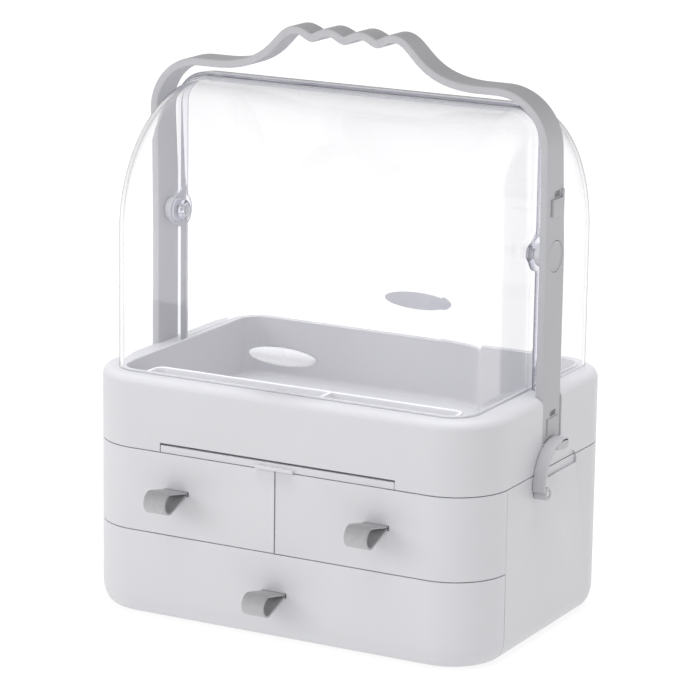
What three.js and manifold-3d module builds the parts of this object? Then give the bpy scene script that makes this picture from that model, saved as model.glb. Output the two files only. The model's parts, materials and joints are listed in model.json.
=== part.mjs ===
// Dustproof makeup organiser: a drawer base, a tray band under a twin clear dome, and a carrying handle.
// Millimetres, +X right along the front, +Y to the back, +Z up; the feet stand on Z = 0.
import * as THREE from "three";
import { mergeVertices } from "three/addons/utils/BufferGeometryUtils.js";
import Module from "manifold-3d";

// Body outline, shared by the base, the drawer fronts and the tray band
const bodyWidth = 290;
const bodyDepth = 198.4;
const cornerRadius = 37.8;
const bottomRoundIn = 8.5;
const bottomRoundUp = 15;
const rimRound = 6;

// Fits
const seamGap = 0.4;
const centreSeam = 0.8;
const fitGap = 0.3;
const drawerPlay = 0.8;
const nestGap = 1;
const overrun = 2;

// Heights of the stacked mouldings
const footStand = 1.2;
const lowerFrontHeight = 57;
const upperFrontHeight = 54.3;
const bandHeight = 47.7;

// Base casing
const casingWall = 2.4;
const casingFloor = 2.4;
const casingRoof = 2.2;
const frontReturn = 36.8;
const shelfThickness = 2.2;
const shelfLedgeWidth = 3;
const shelfLedgeHeight = 2.2;
const partitionThickness = 2.2;
const partitionGrooveDepth = 1;
const footRadius = 7;
const footSink = 1;
const footInsetX = 40;
const footInsetY = 33;

// Drawers
const frontWall = 2.6;
const boxWall = 1.8;
const lowerBoxHeight = 45;
const upperBoxHeight = 35;
const pullWidth = 16;
const pullReach = 28;
const pullRadius = 7.2;
const pullDroop = 1.4;
const pullRise = 2.2;
const strapThickness = 1.5;
const anchorWidth = 23;
const anchorHeight = 8;
const anchorThickness = 2.4;

// Tray band and basin
const bandWall = 2.4;
const rimThickness = 2.6;
const basinDepth = 39.5;
const basinWall = 2;
const basinFloor = 2;
const lipWall = 2;
const lipHeight = 1.5;
const lipGap = 0.5;
const dividerWall = 2;
const dividerDrop = 3;
const dividerEndGap = 20.5;
const dividerSetback = 30;
const dividerCorner = 7;
const crossDividerOffset = 17;

// Slide-out mirror board
const boardSideSetback = 60.3;
const boardRearSetback = 38.4;
const boardThickness = 4.7;
const boardTopGap = 1.2;
const railWidth = 2.4;
const mirrorBorder = 11.7;
const mirrorRearBorder = 22;
const mirrorThickness = 2;
const mirrorSetback = 14;
const tabWidth = 27.6;
const tabReach = 2.6;
const tabRise = 2.4;
const tabCorner = 1.1;

// Clear covers
const pivotRise = 89;
const coverEndSetback = 5.4;
const coverSideSetback = 12.5;
const coverCorner = 22;
const coverWall = 2.2;
const coverEdgeGap = 0.5;
const coverOverlap = 6;
const earRadius = 13;
const gripLength = 48.6;
const gripHeight = 13;
const gripReach = 5;
const gripRimGap = 24.6;

// Pivots
const pinRadius = 3;
const pinHeadRadius = 10;
const pinHeadThickness = 1.6;
const pinTipLength = 2;
const spacerRadius = 9;
const capRadius = 7;
const capHeight = 3.4;

// Handle
const legSetback = 0.8;
const legThickness = 5.2;
const handleWidth = 27;
const gripWidth = 19.8;
const gripLean = 6.5;
const legFootGap = 0.6;
const coverHeadroom = 6.5;
const archRadius = 37;
const gripRise = 26.8;
const gripWaveDepth = 4.2;
const gripWaveLength = 23.5;
const gripWaves = 3;
const shoulderFlat = 12;
const bendStartShare = 0.26;
const bendEndShare = 0.76;
const legPocketWall = 2.4;
const clipWidth = 15.6;
const clipHeight = 16.4;
const lowerClipShift = 2.5;
const lowerClipRise = 2.9;
const upperClipShift = 0.2;
const upperClipRise = 25.7;
const upperClipProud = 1.7;
const lowerClipProud = 0.6;
const clipNotchWidth = 8.4;
const clipNotchHeight = 4;
const clipNotchDepth = 2.4;
const screwRadius = 1.4;
const screwHeadRadius = 2.8;
const screwHeadHeight = 1.8;
const screwBite = 3;
const screwSpacing = 14;
const screwRise = 6;

// Side latches
const latchCentreDrop = 7.3;
const latchRadius = 27;
const latchBlade = 2.2;
const latchReach = 8.5;
const latchTopLength = 6;
const latchTopDepth = 6;
const latchPivotY = -20.5;
const latchPivotDrop = 4.5;
const latchBarrelRadius = 4.2;
const latchPinRadius = 2;
const latchBossRadius = 4.6;
const latchBossDepth = 5;
const lugRadius = 2.2;
const lugReach = 5.5;
const pocketFront = -4;
const pocketBack = 39.4;
const pocketDrop = 6.3;
const pocketRise = 3.5;
const pocketCorner = 8;
const pocketDepth = 1.4;

// Facet counts
const cornerSteps = 6;
const bevelSteps = 4;
const archSteps = 24;
const roundSteps = 18;
const waveSteps = 6;

// Levels and faces that follow from the sizes above
const casingLow = footStand;
const seamHeight = casingLow + lowerFrontHeight + seamGap / 2;
const upperFrontLow = seamHeight + seamGap / 2;
const casingHigh = upperFrontLow + upperFrontHeight;
const bandLow = casingHigh + seamGap;
const rimHigh = bandLow + bandHeight;
const pivotHeight = rimHigh + pivotRise;
const gripLevel = rimHigh + gripRimGap;
const latchCentreHeight = bandLow - latchCentreDrop;
const latchPivotHeight = latchCentreHeight - latchPivotDrop;
const pocketLow = bandLow - pocketDrop;
const pocketHigh = bandLow + pocketRise;
const frontFace = -bodyDepth / 2;
const sideFace = bodyWidth / 2;
const returnEnd = frontFace + frontReturn;
const shelfLow = seamHeight - shelfThickness / 2;
const shelfHigh = seamHeight + shelfThickness / 2;
const boxInset = casingWall + drawerPlay;
const coverRadius = bodyDepth / 2 - coverEndSetback;
const coverWidth = bodyWidth - 2 * coverSideSetback;
const shoulderHeight = pivotHeight + coverRadius + coverHeadroom + legThickness;
const gripCrestHeight = shoulderHeight + gripRise;
const dividerSpan = coverWidth - 2 * dividerEndGap;
const boardWidth = bodyWidth - 2 * boardSideSetback;
const boardLength = bodyDepth - boardRearSetback;
const mirrorWidth = boardWidth - 2 * mirrorBorder;
const mirrorLength = boardLength - mirrorSetback - mirrorRearBorder;
const coverInset = coverWall + nestGap;
const lipInset = coverInset + coverWall + lipGap;
const basinInset = lipInset + lipWall;
const basinLow = rimHigh - basinDepth;
const legOuter = sideFace - legSetback;
const legInner = legOuter - legThickness;
const anchorStart = boxInset + boxWall + fitGap;
const tailEnd = anchorStart + anchorThickness + fitGap;
const lugHeight = latchCentreHeight + latchRadius - latchBlade - lugRadius - seamGap;
const legFootHeight = lugHeight + lugRadius + legFootGap;
const lowerClipLow = legFootHeight + lowerClipRise;
const upperClipLow = pivotHeight + upperClipRise;
const screwLow = legFootHeight + screwRise;
const far = 2 * (bodyWidth + pivotHeight + coverRadius);

// Finishes
const shellWhite = { color: 0xdadadf, roughness: 0.42, metalness: 0 };
const innerWhite = { color: 0xe4e4e8, roughness: 0.5, metalness: 0 };
const handleGrey = { color: 0xc2c2c8, roughness: 0.45, metalness: 0 };
const strapGrey = { color: 0xb2b2b8, roughness: 0.6, metalness: 0 };
const clearPlastic = { color: 0xf2f2fa, roughness: 0.06, metalness: 0, transparent: true, opacity: 0.25 };
const frostedPlastic = { color: 0xe6e6ee, roughness: 0.3, metalness: 0 };
const mirrorSilver = { color: 0xd8dce0, roughness: 0.03, metalness: 1 };
const steel = { color: 0xb8babd, roughness: 0.3, metalness: 1 };
const rubber = { color: 0x8f8f94, roughness: 0.85, metalness: 0 };

const wasm = await Module();
wasm.setup();

// Turns a closed geometry into a solid that can be joined and cut
function solid(geometry) {
  geometry.deleteAttribute("normal");
  geometry.deleteAttribute("uv");
  const merged = mergeVertices(geometry);
  const corners = merged.index.array;
  const kept = [];
  for (let i = 0; i < corners.length; i += 3) {
    const [a, b, c] = corners.slice(i, i + 3);
    if (a !== b && b !== c && c !== a) {
      kept.push(a, b, c);
    }
  }
  const vertProperties = merged.attributes.position.array;
  return new wasm.Manifold(new wasm.Mesh({ numProp: 3, vertProperties, triVerts: new Uint32Array(kept) }));
}

// Names a finished solid as one piece of the object
function piece(name, shape, finish) {
  const { vertProperties, triVerts } = shape.getMesh();
  const geometry = new THREE.BufferGeometry();
  geometry.setAttribute("position", new THREE.BufferAttribute(vertProperties, 3));
  geometry.setIndex(new THREE.BufferAttribute(triVerts, 1));
  geometry.computeVertexNormals();
  const mesh = new THREE.Mesh(geometry, new THREE.MeshStandardMaterial(finish));
  mesh.name = name;
  return mesh;
}

function assembly(...members) {
  const group = new THREE.Group();
  group.add(...members);
  return group;
}

// Joins solids, leaving the first one unchanged when it stands alone
function join(first, ...rest) {
  return rest.reduce((whole, part) => whole.add(part), first);
}

function cut(body, ...tools) {
  return tools.reduce((whole, tool) => whole.subtract(tool), body);
}

// A box between two limits on each axis
function block([x0, x1], [y0, y1], [z0, z1]) {
  const box = new THREE.BoxGeometry(x1 - x0, y1 - y0, z1 - z0);
  return solid(box.translate((x0 + x1) / 2, (y0 + y1) / 2, (z0 + z1) / 2));
}

// Everything beyond a limit on one axis, used to trim
function beyond(axis, limit, side) {
  const spans = [[-far, far], [-far, far], [-far, far]];
  spans[axis] = side > 0 ? [limit, far] : [-far, limit];
  return block(...spans);
}

// Limits on the right for side 1, and their mirror image for side -1
function sided(side, inner, outer) {
  return side > 0 ? [inner, outer] : [-outer, -inner];
}

// An upright plate of a plan outline
function slab(outline, low, high) {
  const options = { depth: high - low, bevelEnabled: false, curveSegments: cornerSteps };
  return solid(new THREE.ExtrudeGeometry(outline, options).translate(0, 0, low));
}

// Turns an extrusion so that its outline lies in Y and Z and it runs along X
const acrossTurn = new THREE.Matrix4().makeBasis(
  new THREE.Vector3(0, 1, 0),
  new THREE.Vector3(0, 0, 1),
  new THREE.Vector3(1, 0, 0),
);

// A plate whose outline is drawn in Y and Z, running along X
function plateAcross(outline, [x0, x1], steps = cornerSteps) {
  const options = { depth: x1 - x0, bevelEnabled: false, curveSegments: steps };
  return solid(new THREE.ExtrudeGeometry(outline, options).applyMatrix4(acrossTurn).translate(x0, 0, 0));
}

// A plate whose outline is drawn in X and Z, running forward
function plateForward(outline, depth) {
  const options = { depth, bevelEnabled: false, curveSegments: cornerSteps };
  return new THREE.ExtrudeGeometry(outline, options).rotateX(Math.PI / 2);
}

// A round bar along X
function rodAcross(radius, [x0, x1], y, z) {
  const bar = new THREE.CylinderGeometry(radius, radius, x1 - x0, roundSteps).rotateZ(Math.PI / 2);
  return solid(bar.translate((x0 + x1) / 2, y, z));
}

// A turned piece whose axis lies along X, its profile running outwards on the given side
function turnedAcross(profile, side, x, y, z) {
  const points = profile.map(([radius, along]) => new THREE.Vector2(radius, along));
  const turned = new THREE.LatheGeometry(points, roundSteps).rotateZ((-side * Math.PI) / 2);
  return solid(turned.translate(side * x, y, z));
}

function roundedRect([x0, x1], [y0, y1], radius) {
  const outline = new THREE.Shape();
  outline.absarc(x1 - radius, y1 - radius, radius, 0, Math.PI / 2);
  outline.absarc(x0 + radius, y1 - radius, radius, Math.PI / 2, Math.PI);
  outline.absarc(x0 + radius, y0 + radius, radius, Math.PI, 1.5 * Math.PI);
  outline.absarc(x1 - radius, y0 + radius, radius, 1.5 * Math.PI, 2 * Math.PI);
  return outline;
}

// The body's plan outline, pulled in all round
function bodyPlan(inset) {
  const x = bodyWidth / 2 - inset;
  const y = bodyDepth / 2 - inset;
  return roundedRect([-x, x], [-y, y], cornerRadius - inset);
}

// A body with one rounded end: the outline swells from that end's flat to its full width
function roundEnded(inset, roundIn, roundUp, low, high, roundedBelow) {
  const options = {
    depth: high - low,
    bevelSize: roundIn,
    bevelThickness: roundUp,
    bevelSegments: bevelSteps,
    curveSegments: cornerSteps,
  };
  const start = roundedBelow ? low + roundUp : low - roundUp;
  const body = new THREE.ExtrudeGeometry(bodyPlan(inset + roundIn), options).translate(0, 0, start);
  return solid(body).intersect(roundedBelow ? beyond(2, high, -1) : beyond(2, low, 1));
}

function tub(inset, low, high) {
  return roundEnded(inset, bottomRoundIn, bottomRoundUp, low, high, true);
}

// Base casing: a shell open at the front, with floor and roof running forward inside the drawer fronts
function baseCasing() {
  const outer = tub(0, casingLow, casingHigh);
  const inner = tub(casingWall, casingLow + casingFloor, casingHigh - casingRoof);
  const shell = cut(outer, inner, beyond(1, returnEnd + seamGap, -1));
  const floor = slab(bodyPlan(bottomRoundIn + frontWall + fitGap), casingLow, casingLow + casingFloor);
  const roof = slab(bodyPlan(frontWall + fitGap), casingHigh - casingRoof, casingHigh);
  const ledgeHigh = shelfLow - fitGap;
  const ledgeEnds = [returnEnd + seamGap, bodyDepth / 2 - cornerRadius];
  const fittings = [floor, roof];
  const cuts = [partitionGroove(casingHigh - casingRoof, 1)];
  for (const side of [-1, 1]) {
    const ledgeX = sided(side, sideFace - casingWall - shelfLedgeWidth, sideFace - casingWall / 2);
    fittings.push(block(ledgeX, ledgeEnds, [ledgeHigh - shelfLedgeHeight, ledgeHigh]));
    const bossX = sided(side, sideFace - casingWall - latchBossDepth, sideFace - casingWall / 2);
    fittings.push(rodAcross(latchBossRadius, bossX, latchPivotY, latchPivotHeight));
    const holeX = sided(side, sideFace - casingWall - latchBossDepth - overrun, sideFace + overrun);
    cuts.push(rodAcross(latchPinRadius + fitGap, holeX, latchPivotY, latchPivotHeight));
    cuts.push(fingerPocket(side));
  }
  for (const [x, y] of footPlaces()) {
    const recess = new THREE.Shape().absarc(x, y, footRadius + fitGap, 0, 2 * Math.PI);
    cuts.push(slab(recess, casingLow - overrun, casingLow + footSink));
  }
  return cut(join(shell, ...fittings), ...cuts);
}

function footPlaces() {
  const x = sideFace - footInsetX;
  const y = bodyDepth / 2 - footInsetY;
  return [[-x, -y], [x, -y], [-x, y], [x, y]];
}

// The groove that holds the partition's edge, cut up or down from a face
function partitionGroove(face, direction) {
  const half = partitionThickness / 2 + fitGap;
  const depth = [face - overrun, face + partitionGrooveDepth];
  const span = direction > 0 ? depth : [face - partitionGrooveDepth, face + overrun];
  return block([-half, half], [frontFace + frontWall, bodyDepth / 2 - casingWall], span);
}

// The shallow finger pocket behind each latch, straddling the seam between base and band
function fingerPocket(side) {
  const outline = new THREE.Shape();
  outline.moveTo(pocketFront, pocketLow);
  outline.lineTo(pocketBack, pocketLow);
  outline.absarc(pocketBack - pocketCorner, pocketHigh - pocketCorner, pocketCorner, 0, Math.PI / 2);
  outline.lineTo(pocketFront, pocketHigh);
  return plateAcross(outline, sided(side, sideFace - pocketDepth, sideFace + overrun));
}

function drawerBase() {
  const shelf = slab(bodyPlan(frontWall + fitGap), shelfLow, shelfHigh);
  const partitionX = [-partitionThickness / 2, partitionThickness / 2];
  const partitionY = [frontFace + frontWall + fitGap, bodyDepth / 2 - casingWall - fitGap];
  const partitionLow = shelfHigh - partitionGrooveDepth + fitGap;
  const partitionHigh = casingHigh - casingRoof + partitionGrooveDepth - fitGap;
  const base = assembly(
    piece("base_casing", baseCasing(), shellWhite),
    piece("middle_shelf", cut(shelf, partitionGroove(shelfHigh, -1)), innerWhite),
    piece("centre_partition", block(partitionX, partitionY, [partitionLow, partitionHigh]), innerWhite),
  );
  const footNames = ["front_left_foot", "front_right_foot", "rear_left_foot", "rear_right_foot"];
  footPlaces().forEach(([x, y], i) => {
    const pad = new THREE.Shape().absarc(0, 0, footRadius, 0, 2 * Math.PI);
    const foot = piece(footNames[i], slab(pad, 0, casingLow + footSink - fitGap), rubber);
    foot.position.set(x, y, 0);
    base.add(foot);
  });
  return base;
}

// The folded strap pull: a teardrop loop hanging below its root, and the doubled tail behind it
function pullOutline() {
  const reach = pullReach - pullRadius;
  const distance = Math.hypot(reach, pullDroop);
  const spread = Math.asin(pullRadius / distance);
  const heading = Math.atan2(-pullDroop, -reach);
  const opening = Math.PI / 2 + spread;
  const loop = (radius) => {
    const apex = radius / Math.sin(spread);
    const centre = new THREE.Vector2(-reach, -pullDroop);
    const outline = new THREE.Shape();
    outline.absarc(centre.x, centre.y, radius, heading - opening, heading + opening);
    outline.lineTo(centre.x - apex * Math.cos(heading), centre.y - apex * Math.sin(heading));
    return outline;
  };
  return { outer: loop(pullRadius), inner: loop(pullRadius - strapThickness) };
}

function strapPull(name) {
  const { outer, inner } = pullOutline();
  const across = [-pullWidth / 2, pullWidth / 2];
  const tail = block(across, [-2 * strapThickness, tailEnd], [-strapThickness, strapThickness]);
  const hole = plateAcross(inner, [-pullWidth, pullWidth], roundSteps);
  const loop = cut(plateAcross(outer, across, roundSteps), hole);
  return piece(name, join(loop, tail), strapGrey);
}

function pullSlot(slack) {
  const x = pullWidth / 2 + slack;
  const z = strapThickness + slack;
  return { across: [-x, x], tall: [-z, z] };
}

// The bar inside the drawer that the strap's tail passes through
function pullAnchor(name) {
  const { across, tall } = pullSlot(fitGap);
  const half = anchorWidth / 2;
  const span = [anchorStart, anchorStart + anchorThickness];
  const bar = block([-half, half], span, [-anchorHeight / 2, anchorHeight / 2]);
  return piece(name, cut(bar, block(across, [0, far], tall)), innerWhite);
}

// One drawer: a wrapped front, a box behind it and the strap pull that ties the two together
function drawer(name, { low, high, boxLow, boxHeight, halves, pullX, roundedBelow }) {
  const envelope = (inset, bottom, top) =>
    roundedBelow ? tub(inset, bottom, top) : slab(bodyPlan(inset), bottom, top);
  const keep = (body, gap) => {
    if (halves === 0) {
      return body;
    }
    return body.intersect(beyond(0, halves * gap, halves));
  };
  const pullHeight = (low + high) / 2 + pullRise;
  const { across, tall } = pullSlot(fitGap);
  const slotX = across.map((x) => x + pullX);
  const slotZ = tall.map((z) => z + pullHeight);
  const slot = block(slotX, [frontFace - overrun, frontFace + boxInset + boxWall + overrun], slotZ);
  const ring = cut(envelope(0, low, high), envelope(frontWall, low, high + overrun));
  const front = cut(keep(ring, centreSeam / 2), beyond(1, returnEnd, 1), slot);
  const boxHigh = boxLow + boxHeight;
  const boxSide = partitionThickness / 2 + drawerPlay;
  const outer = keep(envelope(boxInset, boxLow, boxHigh), boxSide);
  const hollow = keep(envelope(boxInset + boxWall, boxLow + boxWall, boxHigh + overrun), boxSide + boxWall);
  const members = assembly(
    piece(`${name}_drawer_front`, front, shellWhite),
    piece(`${name}_drawer_box`, cut(outer, hollow, slot), innerWhite),
  );
  const fitted = assembly(strapPull(`${name}_drawer_pull`), pullAnchor(`${name}_drawer_pull_anchor`));
  fitted.position.set(pullX, frontFace, pullHeight);
  members.add(fitted);
  return members;
}

function drawers() {
  const lower = {
    low: casingLow,
    high: casingLow + lowerFrontHeight,
    boxLow: casingLow + casingFloor + seamGap,
    boxHeight: lowerBoxHeight,
    halves: 0,
    pullX: 0,
    roundedBelow: true,
  };
  const upper = {
    low: upperFrontLow,
    high: casingHigh,
    boxLow: shelfHigh + seamGap,
    boxHeight: upperBoxHeight,
    roundedBelow: false,
  };
  return assembly(
    drawer("lower", lower),
    drawer("left", { ...upper, halves: -1, pullX: -bodyWidth / 4 }),
    drawer("right", { ...upper, halves: 1, pullX: bodyWidth / 4 }),
  );
}

// The covers' plan and all that follows it, pulled in from the rear cover's outside
function coverPlan(inset) {
  const x = coverWidth / 2 - inset;
  const y = coverRadius - inset;
  return roundedRect([-x, x], [-y, y], coverCorner - inset);
}

// Tray band: the outer wall and rim, the basin inside it, the leg pockets and the latch lugs
function topTray() {
  const outer = roundEnded(0, rimRound, rimRound, bandLow, rimHigh, false);
  const basinBlock = slab(coverPlan(basinInset - basinWall), basinLow - basinFloor, far);
  const cavity = cut(slab(bodyPlan(bandWall), bandLow - overrun, rimHigh - rimThickness), basinBlock);
  const lip = slab(coverPlan(lipInset), rimHigh - rimThickness, rimHigh + lipHeight);
  const basin = slab(coverPlan(basinInset), basinLow, far);
  const railEnd = frontFace + boardLength;
  const railX = boardWidth / 2 + fitGap;
  const fittings = [lip];
  const cuts = [basin, boardSlot()];
  for (const side of [-1, 1]) {
    const pocketX = sided(side, legInner - fitGap - legPocketWall, sideFace - bandWall / 2);
    const pocketHalf = handleWidth / 2 + fitGap + legPocketWall;
    fittings.push(block(pocketX, [-pocketHalf, pocketHalf], [bandLow, rimHigh - rimThickness / 2]));
    const rail = sided(side, railX, railX + railWidth);
    fittings.push(block(rail, [frontFace + bandWall / 2, railEnd], [bandLow, basinLow - basinFloor / 2]));
    const lugX = sided(side, sideFace - bandWall / 2, sideFace + lugReach);
    fittings.push(rodAcross(lugRadius, lugX, 0, lugHeight));
    const grooveX = sided(side, legInner - fitGap, sideFace + overrun);
    const grooveHalf = handleWidth / 2 + fitGap;
    cuts.push(block(grooveX, [-grooveHalf, grooveHalf], [legFootHeight - fitGap, far]));
    cuts.push(fingerPocket(side));
    cuts.push(...screwPlaces().map((z) => rodAcross(screwRadius + fitGap, pocketX, 0, z)));
  }
  return cut(join(cut(outer, cavity), ...fittings), ...cuts);
}

function boardSlot() {
  const half = boardWidth / 2 + fitGap;
  const depth = [frontFace - overrun, frontFace + bandWall + overrun];
  return block([-half, half], depth, [bandLow - overrun, bandLow + boardThickness + boardTopGap]);
}

// A free-standing wall that makes the long front compartment, and the short wall that splits it
function trayDivider() {
  const low = basinLow + fitGap;
  const high = rimHigh - dividerDrop;
  const half = dividerSpan / 2;
  const frontInside = -(coverRadius - basinInset) + fitGap;
  const back = frontInside + dividerSetback;
  const start = frontInside - dividerCorner;
  const outer = roundedRect([-half, half], [start, back], dividerCorner);
  const innerX = [-half + dividerWall, half - dividerWall];
  const inner = roundedRect(innerX, [start - overrun, back - dividerWall], dividerCorner - dividerWall);
  const bend = cut(slab(outer, low, high), slab(inner, low - overrun, high + overrun));
  const crossX = [crossDividerOffset - dividerWall / 2, crossDividerOffset + dividerWall / 2];
  const cross = block(crossX, [frontInside, back - dividerWall / 2], [low, high]);
  return join(bend, cross).intersect(slab(coverPlan(basinInset + fitGap), low, high));
}

// The flat board that slides out under the basin, with a mirror let into its upper face
function mirrorBoard() {
  const half = boardWidth / 2;
  const high = bandLow + boardThickness;
  const board = block([-half, half], [frontFace, frontFace + boardLength], [bandLow, high]);
  const tabHalf = tabWidth / 2;
  const tabOutline = roundedRect([-tabHalf, tabHalf], [0, tabRise], tabCorner);
  const tab = plateForward(tabOutline, tabReach + tabCorner).translate(0, frontFace + tabCorner, bandLow);
  const mirrorX = mirrorWidth / 2 + fitGap;
  const mirrorY = frontFace + mirrorSetback;
  const recessY = [mirrorY - fitGap, mirrorY + mirrorLength + fitGap];
  const recess = block([-mirrorX, mirrorX], recessY, [high - mirrorThickness - fitGap, high + overrun]);
  const glassX = [-mirrorWidth / 2, mirrorWidth / 2];
  const glass = block(glassX, [mirrorY, mirrorY + mirrorLength], [high - mirrorThickness, high]);
  return assembly(
    piece("mirror_board", cut(join(board, solid(tab)), recess), shellWhite),
    piece("mirror_glass", glass, mirrorSilver),
  );
}

// The arch that both covers follow: a half round over straight sides, with its ends rounded over
function dome(inset) {
  const round = coverCorner - inset;
  const radius = coverRadius - coverCorner;
  const low = rimHigh - coverCorner;
  const arch = new THREE.Shape();
  arch.absarc(0, pivotHeight, radius, 0, Math.PI);
  arch.lineTo(-radius, low);
  arch.lineTo(radius, low);
  const length = coverWidth - 2 * coverCorner;
  const options = {
    depth: length,
    bevelSize: round,
    bevelThickness: round,
    bevelSegments: bevelSteps,
    curveSegments: archSteps,
  };
  const body = new THREE.ExtrudeGeometry(arch, options).applyMatrix4(acrossTurn);
  return solid(body.translate(-length / 2, 0, 0)).intersect(beyond(2, rimHigh + coverEdgeGap, 1));
}

// One cover: half of the arch, kept whole round its pivots
function cover(inset, side, overlap) {
  const shell = cut(dome(inset), dome(inset + coverWall));
  const ears = rodAcross(earRadius, [-coverWidth, coverWidth], 0, pivotHeight);
  const hole = rodAcross(pinRadius + fitGap, [-coverWidth, coverWidth], 0, pivotHeight);
  const kept = join(beyond(1, -side * overlap, side), ears);
  return cut(shell.intersect(kept), hole);
}

// The lens-shaped finger grip on the outside of a cover
function coverGrip(side, face) {
  const lens = new THREE.SphereGeometry(1, roundSteps, roundSteps / 2);
  lens.scale(gripLength / 2, gripReach, gripHeight / 2).translate(0, side * face, gripLevel);
  return solid(lens).intersect(beyond(1, side * (face + fitGap), side));
}

// The stepped pin through leg, spacer and both covers, and the clear cap over its tip
function pivot(side) {
  const word = side > 0 ? "right" : "left";
  const headIn = legOuter - pinHeadThickness;
  const frontCoverInside = coverWidth / 2 - coverInset - coverWall;
  const tip = frontCoverInside - pinTipLength;
  const pinProfile = [
    [0, tip],
    [pinRadius, tip],
    [pinRadius, headIn],
    [pinHeadRadius, headIn],
    [pinHeadRadius, legOuter],
    [0, legOuter],
  ];
  const spacerX = sided(side, coverWidth / 2 + fitGap, legInner - fitGap);
  const spacer = rodAcross(spacerRadius, spacerX, 0, pivotHeight);
  const bore = rodAcross(pinRadius + fitGap, [-far, far], 0, pivotHeight);
  const dimple = tip - fitGap;
  const mouth = frontCoverInside - fitGap;
  const capBase = mouth - capHeight;
  const capProfile = [[0, capBase]];
  for (let i = 1; i <= bevelSteps; i += 1) {
    const turn = (i / bevelSteps) * (Math.PI / 2);
    capProfile.push([capRadius * Math.sin(turn), mouth - capHeight * Math.cos(turn)]);
  }
  capProfile.push([pinRadius + fitGap, mouth], [pinRadius + fitGap, dimple], [0, dimple]);
  return assembly(
    piece(`${word}_pivot_pin`, turnedAcross(pinProfile, side, 0, 0, pivotHeight), handleGrey),
    piece(`${word}_pivot_spacer`, cut(spacer, bore), handleGrey),
    piece(`${word}_pivot_cap`, turnedAcross(capProfile, side, 0, 0, pivotHeight), clearPlastic),
  );
}

function covers() {
  const frontFaceDepth = coverRadius - coverInset;
  return assembly(
    piece("rear_cover", cover(0, 1, 0), clearPlastic),
    piece("rear_cover_grip", coverGrip(1, coverRadius), frostedPlastic),
    piece("front_cover", cover(coverInset, -1, coverOverlap), clearPlastic),
    piece("front_cover_grip", coverGrip(-1, frontFaceDepth), frostedPlastic),
    pivot(-1),
    pivot(1),
  );
}

// The middle line of the right half of the handle strip, from the middle of the grip to the foot
function handleLine() {
  const crest = gripCrestHeight - legThickness / 2;
  const gripEnd = (gripWaves * gripWaveLength) / 2;
  const half = gripWaveDepth / 2;
  const points = [];
  const steps = gripWaves * waveSteps;
  for (let i = 0; i < steps; i += 1) {
    const x = (i / steps) * gripEnd;
    const wave = Math.cos((2 * Math.PI * x) / gripWaveLength);
    points.push(new THREE.Vector2(x, crest - half - half * wave));
  }
  const shoulder = shoulderHeight - legThickness / 2;
  const centre = legOuter - archRadius;
  const bendEnd = centre - shoulderFlat;
  const bendWidth = bendEnd - gripEnd;
  const bend = new THREE.CubicBezierCurve(
    new THREE.Vector2(gripEnd, crest),
    new THREE.Vector2(gripEnd + bendWidth * bendStartShare, crest),
    new THREE.Vector2(bendEnd - bendWidth * bendEndShare, shoulder),
    new THREE.Vector2(bendEnd, shoulder),
  );
  points.push(...bend.getPoints(2 * waveSteps));
  const arc = new THREE.EllipseCurve(
    centre,
    shoulderHeight - archRadius,
    archRadius - legThickness / 2,
    archRadius - legThickness / 2,
    Math.PI / 2,
    0,
    true,
  );
  points.push(...arc.getPoints(2 * cornerSteps));
  points.push(new THREE.Vector2(legOuter - legThickness / 2, legFootHeight));
  return points;
}

// The strip's outline: its middle line pushed out to both sides along the local normal
function handleOutline() {
  const right = handleLine();
  const left = right.slice(1).reverse().map((p) => new THREE.Vector2(-p.x, p.y));
  const line = [...left, ...right];
  const normals = line.map((p, i) => {
    const before = line[Math.max(i - 1, 0)];
    const after = line[Math.min(i + 1, line.length - 1)];
    const along = after.clone().sub(before).normalize();
    return new THREE.Vector2(-along.y, along.x);
  });
  const push = (offset) => line.map((p, i) => p.clone().addScaledVector(normals[i], offset));
  return new THREE.Shape([...push(legThickness / 2), ...push(-legThickness / 2).reverse()]);
}

// The handle seen from the side: parallel up to the pivots, then leaning forward and narrowing to the grip
function handleSide() {
  const half = handleWidth / 2;
  const rise = (gripCrestHeight + overrun - pivotHeight) / (gripCrestHeight - pivotHeight);
  const lean = gripLean * rise;
  const narrowing = ((handleWidth - gripWidth) / 2) * rise;
  const outline = new THREE.Shape();
  outline.moveTo(-half, legFootHeight - overrun);
  outline.lineTo(half, legFootHeight - overrun);
  outline.lineTo(half, pivotHeight);
  outline.lineTo(half - lean - narrowing, gripCrestHeight + overrun);
  outline.lineTo(-half - lean + narrowing, gripCrestHeight + overrun);
  outline.lineTo(-half, pivotHeight);
  return plateAcross(outline, [-far, far]);
}

function screwPlaces() {
  return [screwLow, screwLow + screwSpacing];
}

// The snap details moulded on a leg's outer face: a raised tab with a notch above it
function legClip(side, shift, low, proud) {
  const y = [shift - clipWidth / 2, shift + clipWidth / 2];
  const high = low + clipHeight;
  const raised = block(sided(side, legOuter - legThickness / 2, legOuter + proud), y, [low, high]);
  const notchY = [shift - clipNotchWidth / 2, shift + clipNotchWidth / 2];
  const notchX = sided(side, legOuter - clipNotchDepth, legOuter + proud + overrun);
  const notch = block(notchX, notchY, [high - clipNotchHeight, high - fitGap]);
  return { raised, notch };
}

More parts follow.
